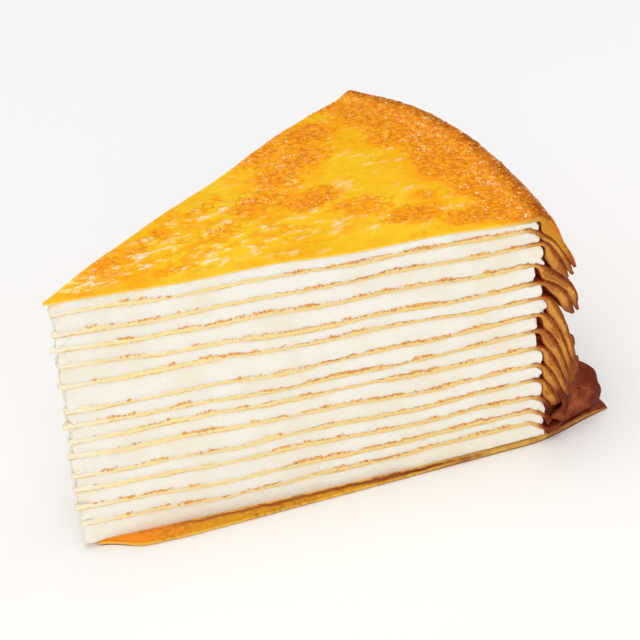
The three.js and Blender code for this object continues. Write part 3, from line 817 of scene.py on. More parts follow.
def makeGlazed():
    material, w, surface, place = newFinish("glazedCrepe", glazedLook)
    browned, atRim, crest = w.named("browned"), w.named("rimBrowning"), w.named("crest")
    cover = w.plus(w.between(browned, 0.05, 0.85, 0.17, 0.76), w.times(atRim, 0.3))
    lace = w.placed(friedLace, "lace", Vector=place, Coverage=cover)
    marks = lace["Browning"]
    fine = w.noise(place, 850.0, 3.0, 0.6)
    pale = w.between(w.plus(w.noise(place, 60.0, 3.0, 0.55), w.times(fine, 0.3)), 0.5, 0.8)
    clouds = w.plus(w.noise(place, 130.0, 4.0, 0.6), w.times(browned, 0.35))
    drawnOut = w.add("ShaderNodeMapping", Vector=place, Scale=(0.35, 1.0, 1.0)).outputs[0]
    # painted sheen: pale streaks on the wrinkle crests stand in for the glaze's reflections, less where it
    # is browned
    streaks = w.between(w.noise(drawnOut, 600.0, 4.0, 0.6, 0.8), 0.475, 0.59)
    paintedSheen = w.times(w.between(crest, 0.0, 0.07), w.times(streaks, w.between(browned, 0.9, 0.3)))
    blister = w.times(marks, w.between(lace["Grain"], 0.42, 0.28, 0.0, 0.5))
    deep = w.times(marks, w.between(w.plus(fine, w.times(browned, 0.25)), 0.6, 0.82))
    rim = w.between(w.plus(atRim, w.times(w.minus(marks, 0.5), 0.5)), 0.4, 0.95)
    mottled = w.placed(friedLace, "rimMottle", Vector=place)
    cutColour = w.layered("cut", (w.between(w.named("along"), 0.09, 0.102), "cutRim"),
                          (w.between(w.named("toHem"), 0.006, 0.001), "rimBrown"))
    w.put(surface["Base Color"], w.layered(
        "yellow",
        (pale, "paleYellow"),
        (w.between(clouds, 0.48, 0.8, 0.0, 0.65), "orange"),
        # darker orange in the wrinkles' troughs, and the painted sheen, a highlight, on their crests
        (w.between(crest, -0.015, -0.09, 0.0, 0.65), "orange"),
        (w.times(paintedSheen, 0.85), "sheen"),
        (w.times(marks, 0.9), "orange"),
        (blister, "blister"),
        (w.times(deep, 0.68), "brown"),
        (w.times(rim, 0.9), w.blend(mottled["Browning"], "rimGold", "rimBrown")),
        (w.between(w.named("skin"), 0.9, 0.35), cutColour)))
    height = w.plus(w.times(lace["Grain"], marks), w.noise(place, 700.0, 3.0, 0.6))
    bumped(w, surface, height)
    return material


crepeLook = {
    "pale": tint(250, 228, 166), "gold": tint(242, 210, 138), "lowerEdge": tint(230, 184, 96),
    # smearAndTipGlare: cream smeared over the crepes, and a painted pale glare at their tips
    "smearAndTipGlare": tint(252, 243, 222), "marks": tint(222, 146, 70), "darkMarks": tint(178, 92, 38),
    # seam: partly the fried side's own browning, partly painted shade where a ribbon lies on the one below
    "hanging": tint(212, 146, 62), "streak": tint(150, 72, 14), "seam": tint(104, 36, 8),
    # hollow: the fried skin darkened to maroon as painted shade in the hollows past the cream's ends; rim is
    # also used as painted shade in the fold
    "rim": tint(112, 37, 15), "rimPale": tint(166, 88, 42), "hollow": tint(150, 44, 22),
    "outer": tint(214, 138, 62), "outerDark": tint(158, 78, 28),
    "lace": {"Patch_Scale": 130.0, "Grain_Scale": 2200.0, "Grain_Share": 0.3},
    "mottle": {"Coverage": 0.52, "Patch_Scale": 170.0, "Grain_Scale": 1500.0, "Grain_Share": 0.35},
    "crumb": {"Scale": 1500.0},
    "bump": (0.7, 0.00025),
    "shader": {"Roughness": 0.6, "Specular IOR Level": 0.14, "Subsurface Weight": 0.1,
               "Subsurface Radius": (0.6, 0.4, 0.2), "Subsurface Scale": 0.0015},
}


def makeCrepe():
    material, w, surface, place = newFinish("crepe", crepeLook)
    skin = w.named("skin")  # 1 on the fried side, 0 on the underside
    along, toHem = w.named("along"), w.named("toHem")
    hanging = w.between(along, 0.0945, 0.1)
    coarse = w.noise(place, 170.0, 4.0, 0.6)
    fine = w.noise(place, 1500.0, 2.0, 0.6)
    ragged = w.plus(w.times(w.minus(coarse, 0.5), 0.9), w.times(w.minus(fine, 0.5), 0.7))
    level = w.plus(skin, w.times(ragged, w.between(hanging, 0.0, 1.0, 1.0, 0.5)))
    streaks = w.between(w.calc("ABSOLUTE", w.minus(level, 0.4)), 0.24, 0.03, 0.0, 0.75)
    hung = w.blend(w.times(streaks, w.between(coarse, 0.44, 0.58)), "hanging", "streak")
    lace = w.placed(friedLace, "lace", Vector=place, Coverage=w.between(along, 0.0, 0.08, 0.25, 0.62))
    smears = w.between(w.noise(place, 260.0, 3.0, 0.6), 0.48, 0.6)
    upper = w.between(level, 0.5, 0.8)
    marks = w.times(w.between(level, 0.55, 0.8), lace["Browning"])
    dark = w.times(marks, w.between(fine, 0.5, 0.7))
    # dark seams on the hanging ribbons: the fried upper side browns, and the underside, where it lies on the
    # one below, gets painted shade
    seam = w.calc("MAXIMUM", w.between(level, 0.74, 0.94), w.between(skin, 0.2, 0.02, 0.0, 0.9))
    mottle = w.plus(coarse, w.times(lace["Grain"], 0.08))
    mottle = w.plus(mottle, w.between(toHem, 0.006, 0.014, 0.0, 0.16))
    friedAndFoldShade = w.blend(w.between(mottle, 0.5, 0.74), "rim", "rimPale")
    mottled = w.placed(friedLace, "mottle", Vector=place)
    outer = w.blend(mottled["Browning"], "outer", "outerDark")
    outside = w.calc("MAXIMUM", w.times(w.between(skin, 0.93, 1.0), w.between(along, 0.096, 0.1)),
                     w.times(w.between(skin, 0.1, 0.0), w.between(along, 0.096, 0.099)))
    atHem = w.between(w.plus(toHem, w.times(coarse, 0.004)), 0.006, 0.002, 0.0, 0.85)
    w.put(surface["Base Color"], w.layered(
        "pale",
        (w.between(along, 0.015, 0.08), "gold"),
        # painted glare: the crepes fade to a pale cream colour towards the tip
        (w.between(along, 0.012, 0.002, 0.0, 0.8), "smearAndTipGlare"),
        (w.between(level, 0.3, 0.0, 0.0, 0.8), "lowerEdge"),
        (hanging, hung),
        (w.times(w.times(smears, upper), w.minus(1.0, hanging)), "smearAndTipGlare"),
        (w.times(marks, 0.9), "marks"),
        (w.times(dark, 0.75), "darkMarks"),
        (w.times(w.between(level, 0.45, 0.7, 0.0, 0.9), hanging), "streak"),
        # seams: real browning on the upper side, painted shade under the ribbons
        (w.times(w.times(seam, hanging), 0.9), "seam"),
        # the outer skin of the hanging ribbons, maroon near the cream's end as painted shade in the hollow
        (outside, w.blend(w.between(along, 0.1045, 0.1005), outer, "hollow")),
        # the fried colour at the hems, and the same colour as painted shade in the fold beside the near cut
        (w.calc("MAXIMUM", atHem, w.named("inFold")), friedAndFoldShade)))
    crumb = w.placed(softCrumb, "crumb", Vector=place)
    bumped(w, surface, w.plus(crumb["Height"], w.times(lace["Grain"], upper)))
    return material


baseLook = {
    # browningAndCreaseShade: the browning marks and underside, and painted shade in the crease just past the
    # cut
    "edge": tint(238, 186, 84), "browningAndCreaseShade": tint(160, 74, 8), "amber": tint(220, 152, 10),
    "strip": tint(238, 186, 70), "orange": tint(242, 142, 6), "rim": tint(120, 38, 14),
    "rimPale": tint(178, 98, 36),
    "lace": {"Coverage": 0.42, "Patch_Scale": 150.0, "Grain_Scale": 1100.0, "Grain_Share": 0.3},
    "bump": (0.5, 0.0002),
    "shader": {"Roughness": 0.5, "Specular IOR Level": 0.3, "Coat Weight": 0.1, "Coat Roughness": 0.25},
}


def makeBase():
    material, w, surface, place = newFinish("baseCrepe", baseLook)
    along, skin = w.named("along"), w.named("skin")
    soft = w.noise(place, 140.0, 4.0, 0.6)
    wavering = w.times(w.minus(w.noise(place, 330.0, 4.0, 0.6), 0.5), 0.0016)
    pastCut = w.plus(w.named("beyond"), wavering)
    # painted shade in the crease at the cream's foot, just past the cut
    creaseShadeColour = w.blend(w.between(along, 0.03, 0.085), "browningAndCreaseShade", "rim")
    toRim = w.between(w.plus(along, w.times(soft, 0.03)), 0.07, 0.105)
    rimColour = w.blend(w.between(w.noise(place, 230.0, 4.0, 0.6), 0.45, 0.7), "rim", "rimPale")
    lace = w.placed(friedLace, "lace", Vector=place)
    w.put(surface["Base Color"], w.layered(
        "edge",
        (w.between(pastCut, 0.0002, 0.0008), creaseShadeColour),
        (w.between(pastCut, 0.0009, 0.0018), "amber"),
        (w.between(along, 0.03, 0.012), "orange"),
        (w.times(toRim, w.between(pastCut, 0.0003, 0.0009, 0.35, 1.0)), rimColour),
        (w.times(w.between(skin, 0.95, 0.6), w.between(toRim, 0.0, 1.0, 1.0, 0.35)), "strip"),
        (w.between(skin, 0.2, 0.02, 0.0, 0.7), "browningAndCreaseShade"),
        (w.times(lace["Browning"], 0.55), "browningAndCreaseShade")))
    bumped(w, surface, w.plus(lace["Grain"], soft))
    return material


creamLook = {
    "cream": tint(244, 240, 228), "shade": tint(240, 232, 213), "stain": tint(244, 214, 156),
    "speck": tint(228, 176, 112),
    "crumb": {"Scale": 620.0},
    "bump": (0.6, 0.0003),
    "shader": {"Roughness": 0.6, "Subsurface Weight": 0.35, "Subsurface Radius": (1.0, 0.9, 0.75),
               "Subsurface Scale": 0.0016},
}


def makeCream():
    material, w, surface, place = newFinish("whippedCream", creamLook)
    soft = w.noise(place, 90.0, 3.0, 0.55)
    fine = w.noise(place, 900.0, 3.0, 0.6)
    stained = w.times(w.named("stain"), w.between(w.plus(soft, fine), 0.75, 1.15))
    specks = w.between(w.noise(place, 1100.0, 3.0, 0.6), 0.66, 0.76)
    nearRim = w.between(w.named("along"), 0.04, 0.1, 0.1, 0.5)
    w.put(surface["Base Color"], w.layered(
        "cream",
        (w.between(soft, 0.35, 0.7), "shade"),
        (w.times(stained, 0.6), "stain"),
        (w.times(specks, nearRim), "speck")))
    crumb = w.placed(softCrumb, "crumb", Vector=place)
    bumped(w, surface, w.plus(crumb["Height"], fine))
    return material


crumbLook = {"light": tint(252, 192, 100), "dark": tint(228, 144, 58), "shader": {"Roughness": 0.5}}
beadLook = {
    # pale: painted glints, some bubbles coloured as the pinkish-white reflections on the glaze
    "light": tint(254, 180, 40), "dark": tint(244, 142, 4), "pale": tint(255, 216, 164),
    "shader": {"Roughness": 0.3, "Specular IOR Level": 0.4, "Coat Weight": 0.5, "Coat Roughness": 0.08},
}


def makeCrumbFinish():
    material, w, surface, place = newFinish("brownedCrumb", crumbLook)
    share = w.between(w.noise(place, 1800.0), 0.38, 0.62)
    w.put(surface["Base Color"], w.blend(share, "light", "dark"))
    return material


def makeBeadFinish():
    material, w, surface, place = newFinish("glazeBubble", beadLook)
    w.put(surface["Base Color"], w.layered(
        "light",
        (w.between(w.noise(place, 700.0), 0.35, 0.65), "dark"),
        # a share of the bubbles gets the pale colour as painted glints
        (w.between(w.noise(place, 430.0), 0.57, 0.64), "pale")))
    return material


finishes = {"glaze": makeGlazed(), "crepe": makeCrepe(), "base": makeBase(), "cream": makeCream(),
            "crumb": makeCrumbFinish(), "bead": makeBeadFinish()}
print("finishes made:", len(finishes))

# the top crepe, glazed and browned in patches
topCrepe = {
    "ringStep": 0.33,
    "patches": [  # distance from the tip, angle, length, width, strength
        (15, 10, 8, 3, 0.7), (13, -4, 7, 2.5, 0.55), (22, 10, 7, 3, 0.5), (30, 13, 9, 3, 0.45),
        (42, 13, 9, 3, 0.5), (52, 7, 9, 5, 0.85), (62, 11, 9, 6, 0.95), (70, 12, 9, 7, 0.85),
        (66, 19, 9, 5, 0.9), (76, 17, 9, 7, 0.95), (62, 0, 8, 4, 0.95), (66, -5, 6, 3, 0.8),
        (71, -9, 6, 3, 0.75), (77, -13, 7, 5, 0.95), (81, -9, 5, 3, 0.7), (39, 1, 7, 4, 0.5),
        (27, -12, 6, 2, 0.4), (48, -8, 7, 3, 0.3), (70, -7, 8, 4, 0.8), (56, 4, 7, 4, 0.7),
    ],
    "clear": [(79, -1, 6, 6), (74, 5, 7, 5), (87, -13, 4, 3.5), (68, -17, 9, 3.5), (84, -20, 9, 2)],
    "background": 0.18,
    "rimBand": (79, 90, 0.95),  # browning grows between these distances, to this strength
    "wrinkleFade": (30, 75),
    "relief": {"Bubble Height": 0.55 * mm, "Bubble Size": 1.3 * mm, "Wrinkle Height": 0.85 * mm,
               "Wrinkle Size": 2.4 * mm, "Wrinkle Stretch": 0.45, "Seed": 4.0},
}


def brownedAt(points, along):
    angle = fromTip(points)[1]
    start, end, most = topCrepe["rimBand"]
    mottle = softNoise(points, 6, 23)
    speckle = 0.16 * softNoise(points, 5, 22)
    total = topCrepe["background"] + topCrepe["background"] * softNoise(points, 9, 21)
    total = np.maximum(total, most * smooth(along + 4 * mottle, start, end) + 0.1 * mottle)

    def reachOf(distance, at, length, width):
        across = np.radians(angle - at) * distance
        return ((along - distance) / length) ** 2 + (across / width) ** 2

    for *patch, strength in topCrepe["patches"]:
        total = np.maximum(total, strength * np.exp(-reachOf(*patch)) + speckle)
    for patch in topCrepe["clear"]:
        total = total * (1 - 0.85 * np.exp(-reachOf(*patch) ** 2))
    return np.clip(total, 0, 1)


def cutEdgeFade(solid, width):
    # 0 at both cuts, 1 further in than `width` millimetres
    angle = np.abs(fromTip(solid["points"])[1])
    inside = np.radians(halfAngle - angle) * np.maximum(solid["along"], 1)
    return smooth(inside, 0, width)


def marksOf(solid):
    # what a crepe's relief and finish read
    return {"lift": solid["lift"], "skin": solid["skin"], "along": solid["along"] * mm,
            "toHem": solid["toHem"] * mm}


def makeTopCrepe(tree):
    solid = crepeSolid(1, topCrepe["ringStep"], lambda d: np.linspace(0, 1, int(4 + 1.75 * d) + 1))
    along = solid["along"]
    browned = brownedAt(solid["points"], along)
    calmer = (1 - 0.72 * smooth(along, *topCrepe["wrinkleFade"])) * (0.25 + 0.75 * cutEdgeFade(solid, 6))
    piece = meshFrom("glazed_top_crepe", solid, {
        **marksOf(solid),
        "browned": browned,
        "rimBrowning": smooth(along, 94, 104),
        "bubbly": smooth(browned, 0.25, 0.8) * (0.35 + 0.65 * cutEdgeFade(solid, 1.5)),
        "wrinkled": calmer * smooth(along, 1, 9) * (1 - smooth(along, 94, 100)),
    })
    return grown(piece, tree, {**topCrepe["relief"], "Material": finishes["glaze"]})


def paintedFoldShade(layer, solid):
    # painted shade: 1 where a low crepe is folded beside the near cut, and where the lowest end there
    if layer < overhangs["coverLayer"]:
        return np.zeros(len(solid["points"]))
    angle = fromTip(solid["points"])[1]
    start = crepes["lowestFoldShade" if layer >= crepes["lowest"] else "inFold"]
    return smooth(solid["along"], *start) * (1 - smooth(angle, *crepes["foldShadeFade"]))


def makeInnerCrepe(layer, tree):
    solid = crepeSolid(layer, crepes["ringStep"], lambda d: endCluster(int(3 + d / 6)))
    along = solid["along"]
    piece = meshFrom(f"crepe_layer_{layer:02d}", solid, {
        **marksOf(solid),
        # inFold: painted shade in the fold beside the near cut
        "inFold": paintedFoldShade(layer, solid),
        "bubbly": smooth(along, 3, 12) * mix(0.45, 1.0, smooth(along, 10, 60)) *
                  (1 - 0.85 * smooth(along, 97, 101)),
        "wrinkled": smooth(along, 3, 10) * (1 - 0.5 * smooth(along, 97, 102)),
    })
    return grown(piece, tree, {**crepes["relief"], "Seed": crepes["firstSeed"] + layer,
                               "Material": finishes["crepe"]})


# the lowest crepe, pressed out past the cuts
baseCrepe = {
    "ringStep": 0.55, "tip": 4.4, "bulge": 3.8, "farBulge": 0.3, "bulgeEnd": 95, "retreat": 7,
    "bulgeRise": (4.4, 14), "bulgeFall": 24, "retreatLength": 26, "hemWave": 0.006, "hemNoise": 0.002,
    "hemThinning": 0.6, "hemWidth": 6, "edgeThinning": 0.3, "edgeShare": 0.06, "nearCrowding": 1.35,
    "beltRows": 5, "roundEdge": 0.35, "cutNoise": 0.08,
    "relief": {"Bubble Height": 0.3 * mm, "Bubble Size": 1.8 * mm, "Wrinkle Height": 0.3 * mm,
               "Wrinkle Size": 5 * mm, "Wrinkle Stretch": 1.0, "Seed": 30.0},
}


def bulgePastNearCut(distance):
    swell = baseCrepe["bulge"] * smooth(distance, *baseCrepe["bulgeRise"])
    fall, end = baseCrepe["bulgeFall"], baseCrepe["bulgeEnd"]
    gone = np.clip((distance - fall) / (end - fall), 0, 1)
    back = smooth(distance, end, end + baseCrepe["retreatLength"])
    return swell * (1 - gone) - baseCrepe["retreat"] * back


def makeBaseCrepe(tree):
    upper, lower, shares, along = [], [], [], []
    tip = baseCrepe["tip"]
    last = wedge["creamEndNear"] + wedge["baseReach"]
    across = np.radians(90 + halfAngle)
    for distance in np.linspace(tip, last, int((last - tip) / baseCrepe["ringStep"])):
        count = int(14 + 0.62 * distance)
        share = np.linspace(0, 1, count + 1) ** baseCrepe["nearCrowding"]
        angle = -halfAngle + 2 * halfAngle * share
        toRim = smooth(distance, stackLast, last)
        wave = 1 + baseCrepe["hemWave"] * hemWave(2, angle) * toRim
        wave = wave + baseCrepe["hemNoise"] * softNoise(spotOf(angle, 0, 0), 2.2, 31) * toRim
        inStack = min(distance, stackLast)
        radius = inStack * creamEnd(angle) / wedge["creamEndNear"] + max(distance - stackLast, 0)
        ring = polar(radius * wave, angle, 0)
        reach = bulgePastNearCut(np.hypot(ring[0, 0] - wedge["tipX"], ring[0, 1]))
        nearPull, farPull = (1 - share) ** 4, baseCrepe["farBulge"] * share ** 4
        ring[:, 0] += reach * (nearPull + farPull) * np.cos(across)
        ring[:, 1] -= reach * (nearPull - farPull) * np.sin(across)
        thickness = throughStations(baseThickness, min(distance, stations[2]))
        hem = 1 - baseCrepe["hemThinning"] * smooth(distance, last - baseCrepe["hemWidth"], last)
        edge = 1 - baseCrepe["edgeThinning"] * np.maximum(1 - share / baseCrepe["edgeShare"], 0)
        top = ring.copy()
        top[:, 2] = thickness * hem * edge
        upper.append(top)
        lower.append(ring)
        shares.append(share)
        along.append(distance)

    def cutFace(points, row):
        fine = softNoise(points, 1.2, 41) + softNoise(points, 4, 42)
        standing = baseCrepe["roundEdge"] * rounding(row) - baseCrepe["roundEdge"]
        return standing + baseCrepe["cutNoise"] * fine

    solid = closedSolid(upper, lower, shares, baseCrepe["beltRows"], cutFace)
    points = solid["points"]
    x = points[:, 0] - wedge["tipX"]
    half = np.radians(halfAngle)
    beyondNear = -x * np.sin(half) - points[:, 1] * np.cos(half)
    beyondFar = -x * np.sin(half) + points[:, 1] * np.cos(half)
    distance, angle = fromTip(points)
    beyond = np.maximum(np.maximum(beyondNear, beyondFar), distance - creamEnd(angle) - 1)
    lift = np.zeros((len(points), 3))
    lift[:, 2] = solid["skin"] * smooth(beyond, 0.2, 1.2)
    piece = meshFrom("base_crepe", solid, {
        "lift": lift, "skin": solid["skin"], "along": np.array(along)[solid["ring"]] * mm,
        "beyond": beyond * mm, "bubbly": 0 * x + 1, "wrinkled": 0 * x + 1,
    })
    return grown(piece, tree, {**baseCrepe["relief"], "Material": finishes["base"]})


# whipped cream between the crepes
cream = {
    "ringStep": 0.5, "tips": [1.6, 2.1, 1.8, 1.9, 1.8, 2.3, 2.1, 2.0, 2.1, 1.7, 1.8, 1.6, 1.9, 1.8],
    "sink": 0.3, "touch": 0.12, "beltRows": 9, "bulge": 0.1, "endBulge": 3, "cutNoise": 0.08, "ragged": 8,
    "rimColumns": 70, "rimRings": 10,
}


def makeCreamLayer(layer):
    upper, lower, shares = [], [], []
    tip = cream["tips"][layer - 1]

    def below(distance, angle):
        if layer == creamCount:
            return throughStations(baseThickness, distance) + 0 * angle - cream["sink"]
        up = crepeHalves(layer + 1, distance, angle)[0]
        return crepeMiddle(layer + 1, distance, angle) + up - cream["sink"]

    for distance in np.linspace(tip, stackLast, int((stackLast - tip) / cream["ringStep"]) + 1):
        across = endCluster(int(3 + distance / 7))
        top, angle = crepeRing(layer, distance, across)
        top[:, 2] += cream["touch"] - crepeHalves(layer, distance, angle)[1]
        upper.append(top)
        lower.append(stackRing(distance, across, below)[0])
        shares.append(across)
    reach = creamLayers[layer - 1][3]
    across = np.linspace(0, 1, cream["rimColumns"] + 1)
    angle = angleAt(across)
    for share in np.linspace(0, 1, cream["rimRings"] + 1)[1:]:
        part = share * reach / overhangLength(layer, -halfAngle)
        r, z, outR, outZ, inside = curveAt(layer, part, across)
        half = inside - cream["touch"]
        upper.append(polar(r - half * outR, angle, z - half * outZ))
        if layer == creamCount:
            lower.append(polar(stackEnd(angle) + share * reach, angle, baseThickness[2] - cream["sink"]))
        else:
            part = share * reach / overhangLength(layer + 1, -halfAngle)
            r, z, outR, outZ, inside = curveAt(layer + 1, part, across)
            half = outerHalf(layer + 1, part) - cream["touch"]
            lower.append(polar(r + half * outR, angle, z + half * outZ))
        shares.append(across)

    def cutFace(points, row):
        swell = cream["bulge"] * (1 - (2 * row - 1) ** 2)
        fine = softNoise(points * np.array([1, 1, 1.6]), 7, 50 + layer) + 0.5 * softNoise(points, 2.2, 51)
        fine = fine + 0.6 * softNoise(points, 0.9, 52)
        distance = fromTip(points)[0]
        atRim = smooth(distance, 96, 99)
        ragged = softNoise(points, 1.1, 53) * (atRim + smooth(distance, 5, 2.5))
        swell = swell * (1 + cream["endBulge"] * atRim)
        return swell + cream["cutNoise"] * (fine + cream["ragged"] * ragged)

    solid = closedSolid(upper, lower, shares, cream["beltRows"], cutFace)
    distance = fromTip(solid["points"])[0]
    stain = 0.9 * smooth(solid["skin"], 0.8, 1) + 0.5 * smooth(solid["skin"], 0.12, 0)
    if layer == 1:
        stain = stain + 1.2 * smooth(solid["skin"], 0.1, 0.9) * smooth(distance, 42, 12)
    piece = meshFrom(f"cream_layer_{layer:02d}", solid, {"stain": stain, "along": distance * mm})
    piece.data.materials.append(finishes["cream"])
    return piece


# one browned thing scattered over a surface: seeds fall where the mask is high, each one a small closed lump
def scatterTree():
    tree, w, given, result = newGroup("brownedScatter", "GeometryNodeTree", {
        "Geometry": "Geometry", "Density": "Float", "Radius": "Float", "Smallest": "Float",
        "Largest": "Float", "Flatness": "Float", "Length": "Float", "Roughness": "Float",
        "Roundness": "Int", "Seed": "Int", "Material": "Material",
    }, {"Geometry": "Geometry"})
    spread = w.add("GeometryNodeDistributePointsOnFaces", Mesh=given["Geometry"], Seed=given["Seed"],
                   Density=w.times(w.stored("mask"), given["Density"]))
    ball = w.add("GeometryNodeMeshIcoSphere", Radius=given["Radius"], Subdivisions=given["Roundness"])
    size = w.add("FunctionNodeRandomValue", {"data_type": "FLOAT_VECTOR"}, Seed=given["Seed"])
    for slot, name in enumerate(("Smallest", "Largest")):
        sides = w.add("ShaderNodeCombineXYZ", X=w.times(given[name], given["Length"]), Y=given[name],
                      Z=w.times(given[name], given["Flatness"]))
        w.put(size.inputs[slot], sides.outputs[0])
    place = w.add("GeometryNodeInstanceOnPoints", Points=spread.outputs["Points"], Scale=size.outputs[0],
                  Instance=ball.outputs["Mesh"], Rotation=spread.outputs["Rotation"])
    single = w.add("GeometryNodeRealizeInstances", Geometry=place.outputs[0])
    position = w.add("GeometryNodeInputPosition").outputs[0]
    uneven = w.add("ShaderNodeTexNoise", Vector=position, Scale=3500).outputs["Color"]
    centred = w.calc("SUBTRACT", uneven, (0.5, 0.5, 0.5), kind="ShaderNodeVectorMath")
    offset = w.add("ShaderNodeVectorMath", {"operation": "SCALE"}, Vector=centred, Scale=given["Roughness"])
    move = w.add("GeometryNodeSetPosition", Geometry=single.outputs[0], Offset=offset.outputs[0])
    w.painted(result, move.outputs[0], given["Material"])
    return tree


crumbs = {
    "from": 3, "to": 95, "step": 0.5, "below": 0.3, "above": 0.2, "out": 0.03, "clusters": 6,
    "fadeIn": (3, 9), "firstSeed": 3,
    "scatter": {"Density": 7.0 / mm ** 2, "Radius": 0.23 * mm, "Smallest": 0.5, "Largest": 1.4,
                "Flatness": 0.6, "Length": 1.9, "Roughness": 0.1 * mm, "Roundness": 1},
}


def makeCrumbs(name, side):
    # strips along the fried edges of the crepes at one cut, 0 near and 1 far, which the crumbs fall on
    points, triangles, mask = [], [], []
    half = math.radians(halfAngle)
    out = np.array([-math.sin(half), (2 * side - 1) * math.cos(half), 0]) * crumbs["out"]
    distances = np.arange(crumbs["from"], crumbs["to"], crumbs["step"])
    count = len(distances)
    turnedOut = [0, 2, 1] if side else [0, 1, 2]
    for strip, layer in enumerate(range(2, crepeCount)):
        edge = []
        for distance in distances:
            middle, angle = crepeRing(layer, distance, np.array([float(side)]))
            up = crepeHalves(layer, distance, angle)[0]
            edge.append(middle[0] + np.array([0, 0, up[0]]) + out)
        edge = np.array(edge)
        points += [edge - np.array([0, 0, crumbs["below"]]), edge + np.array([0, 0, crumbs["above"]])]
        here = softNoise(edge + 40 * layer, crumbs["clusters"], 61) + 0.8 * softNoise(edge, 1.6, 62)
        more = smooth(here, 0.0, 0.35) * smooth(distances, *crumbs["fadeIn"])
        mask += [more, more * 0.4]
        a = 2 * count * strip + np.arange(count - 1)
        b = a + count
        for corners in ([a, a + 1, b + 1], [a, b + 1, b]):
            triangles.append(np.stack(corners, 1)[:, turnedOut])
    strips = {"points": np.concatenate(points), "triangles": np.concatenate(triangles)}
    piece = meshFrom(name, strips, {"mask": np.concatenate(mask)})
    return grown(piece, scatter, {**crumbs["scatter"], "Seed": crumbs["firstSeed"] + side,
                                  "Material": finishes["crumb"]})


beads = {
    "fadeIn": (3, 8), "fadeOut": (99, 103), "browned": (0.3, 0.8),
    "scatter": {"Density": 1.1 / mm ** 2, "Radius": 0.24 * mm, "Smallest": 0.5, "Largest": 1.5,
                "Flatness": 0.45, "Length": 1.0, "Roughness": 0.02 * mm, "Roundness": 2, "Seed": 8},
}


def makeBeads(top):
    # bubbles of glaze where the top crepe is browned
    mesh = top.data.copy()
    piece = newPiece("glaze_bubbles", mesh)
    values = {}
    for label in ("browned", "skin", "along"):
        values[label] = np.zeros(len(mesh.vertices), np.float32)
        mesh.attributes[label].data.foreach_get("value", values[label])
    along = values["along"] / mm
    mask = (values["skin"] > 0.99) * smooth(along, *beads["fadeIn"])
    mask = mask * (1 - smooth(along, *beads["fadeOut"])) * smooth(values["browned"], *beads["browned"])
    mesh.attributes.new("mask", "FLOAT", "POINT").data.foreach_set("value", mask.astype(np.float32))
    return grown(piece, scatter, {**beads["scatter"], "Material": finishes["bead"]})


sharpFrom = 55  # edges sharper than this many degrees stay sharp


def kept(piece, node):
    piece.data.set_sharp_from_angle(angle=math.radians(sharpFrom))
    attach(piece, "root")
    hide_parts(node)


relief = reliefTree()
scatter = scatterTree()
topPiece = makeTopCrepe(relief)
kept(topPiece, "crepe_01")
for layer in range(2, crepeCount):
    kept(makeInnerCrepe(layer, relief), f"crepe_{layer:02d}")
kept(makeBaseCrepe(relief), f"crepe_{crepeCount:02d}")
print("crepes made:", crepeCount)
for layer in range(1, crepeCount):
    kept(makeCreamLayer(layer), f"cream_{layer:02d}")
print("cream spread:", creamCount)
loose = [(makeCrumbs("crumbs_near_cut", 0), "crepe"), (makeCrumbs("crumbs_far_cut", 1), "crepe"),
         (makeBeads(topPiece), "glazed_crepe")]
for piece, slotName in loose:
    for polygon in piece.data.polygons:
        polygon.use_smooth = True
    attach(piece, "root")
    print(piece.name, "triangles:", len(piece.data.polygons))

# floor, light and camera
studio = {
    "floorSize": 3.0,
    "floor": {"pale": tint(250, 249, 249), "shade": tint(248, 247, 247),
              "shader": {"Roughness": 0.9, "Specular IOR Level": 0.1}},
    "worldColour": (1.0, 0.99, 0.98, 1.0), "worldStrength": 0.62, "worldInGloss": 0.06,
    "lamps": [  # name, place, size, power, colour, lights, shines in gloss
        ("windowBehind", (0.22, 0.57, 0.78), 0.2, 1.8, (1.0, 0.96, 0.94), False, True),
        ("softFront", (-0.5, -0.85, 0.6), 1.0, 3.9, (1.0, 0.99, 0.97), True, False),
        ("overhead", (0.0, 0.0, 1.1), 1.2, 4.6, (1.0, 1.0, 1.0), True, False),
    ],
    "lampTarget": (0, 0, 0.03),
}


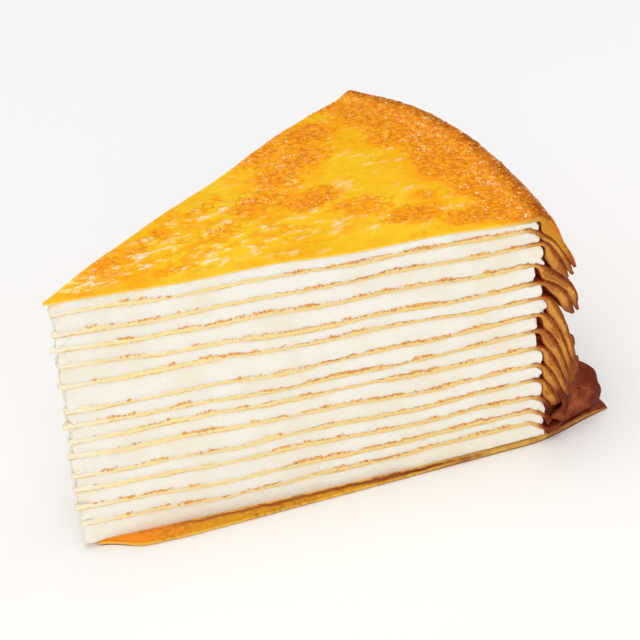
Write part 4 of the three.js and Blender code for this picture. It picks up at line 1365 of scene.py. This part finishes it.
def makeFloor():
    size = studio["floorSize"] / 2
    mesh = bpy.data.meshes.new("floor")
    corners = [(-size, -size, 0), (size, -size, 0), (size, size, 0), (-size, size, 0)]
    mesh.from_pydata(corners, [], [(0, 1, 2, 3)])
    material, w, surface, place = newFinish("paleFloor", studio["floor"])
    w.put(surface["Base Color"], w.blend(w.noise(place, 3.0), "pale", "shade"))
    mesh.materials.append(material)
    newPiece("floor", mesh)


def makeLight():
    world = bpy.data.worlds.new("studio")
    bpy.context.scene.world = world
    world.use_nodes = True
    w = Wires(world.node_tree)
    background = w.nodes["Background"].inputs
    glossy = w.add("ShaderNodeLightPath").outputs["Is Glossy Ray"]
    w.put(background["Color"], studio["worldColour"])
    strength = w.between(glossy, 0.0, 1.0, studio["worldStrength"], studio["worldInGloss"])
    w.put(background["Strength"], strength)
    for name, place, size, power, colour, lights, shines in studio["lamps"]:
        data = bpy.data.lights.new(name, "AREA")
        data.shape = "DISK"
        data.size = size
        data.energy = power
        data.color = colour
        lamp = newPiece(name, data)
        lamp.location = place
        lamp.visible_diffuse = lights
        lamp.visible_glossy = shines
        lamp.rotation_mode = "QUATERNION"
        lamp.rotation_quaternion = (Vector(studio["lampTarget"]) - Vector(place)).to_track_quat("-Z", "Y")


view = {"azimuth": -34.8, "elevation": 30.9, "roll": -4.5, "distance": 0.493, "target": (0.003, 0.0, 0.0276),
        "lens": 134.4, "sensor": 36, "clip": (0.01, 20)}


def makeCamera():
    data = bpy.data.cameras.new("camera")
    data.lens = view["lens"]
    data.sensor_width = view["sensor"]
    data.clip_start, data.clip_end = view["clip"]
    camera = newPiece("camera", data)
    turn, rise, roll = (math.radians(view[label]) for label in ("azimuth", "elevation", "roll"))
    back = Vector((math.sin(turn) * math.cos(rise), -math.cos(turn) * math.cos(rise), math.sin(rise)))
    right = (-back).cross(Vector((0, 0, 1))).normalized()
    up = right.cross(-back)
    side = math.cos(roll) * right + math.sin(roll) * up
    top = math.cos(roll) * up - math.sin(roll) * right
    place = Vector(view["target"]) + back * view["distance"]
    camera.matrix_world = Matrix([(side[i], top[i], back[i], place[i]) for i in range(3)] + [(0, 0, 0, 1)])
    bpy.context.scene.camera = camera


makeFloor()
makeLight()
makeCamera()
bpy.context.scene.view_settings.view_transform = "Standard"
bpy.context.scene.view_settings.exposure = 0.0
print("studio set")
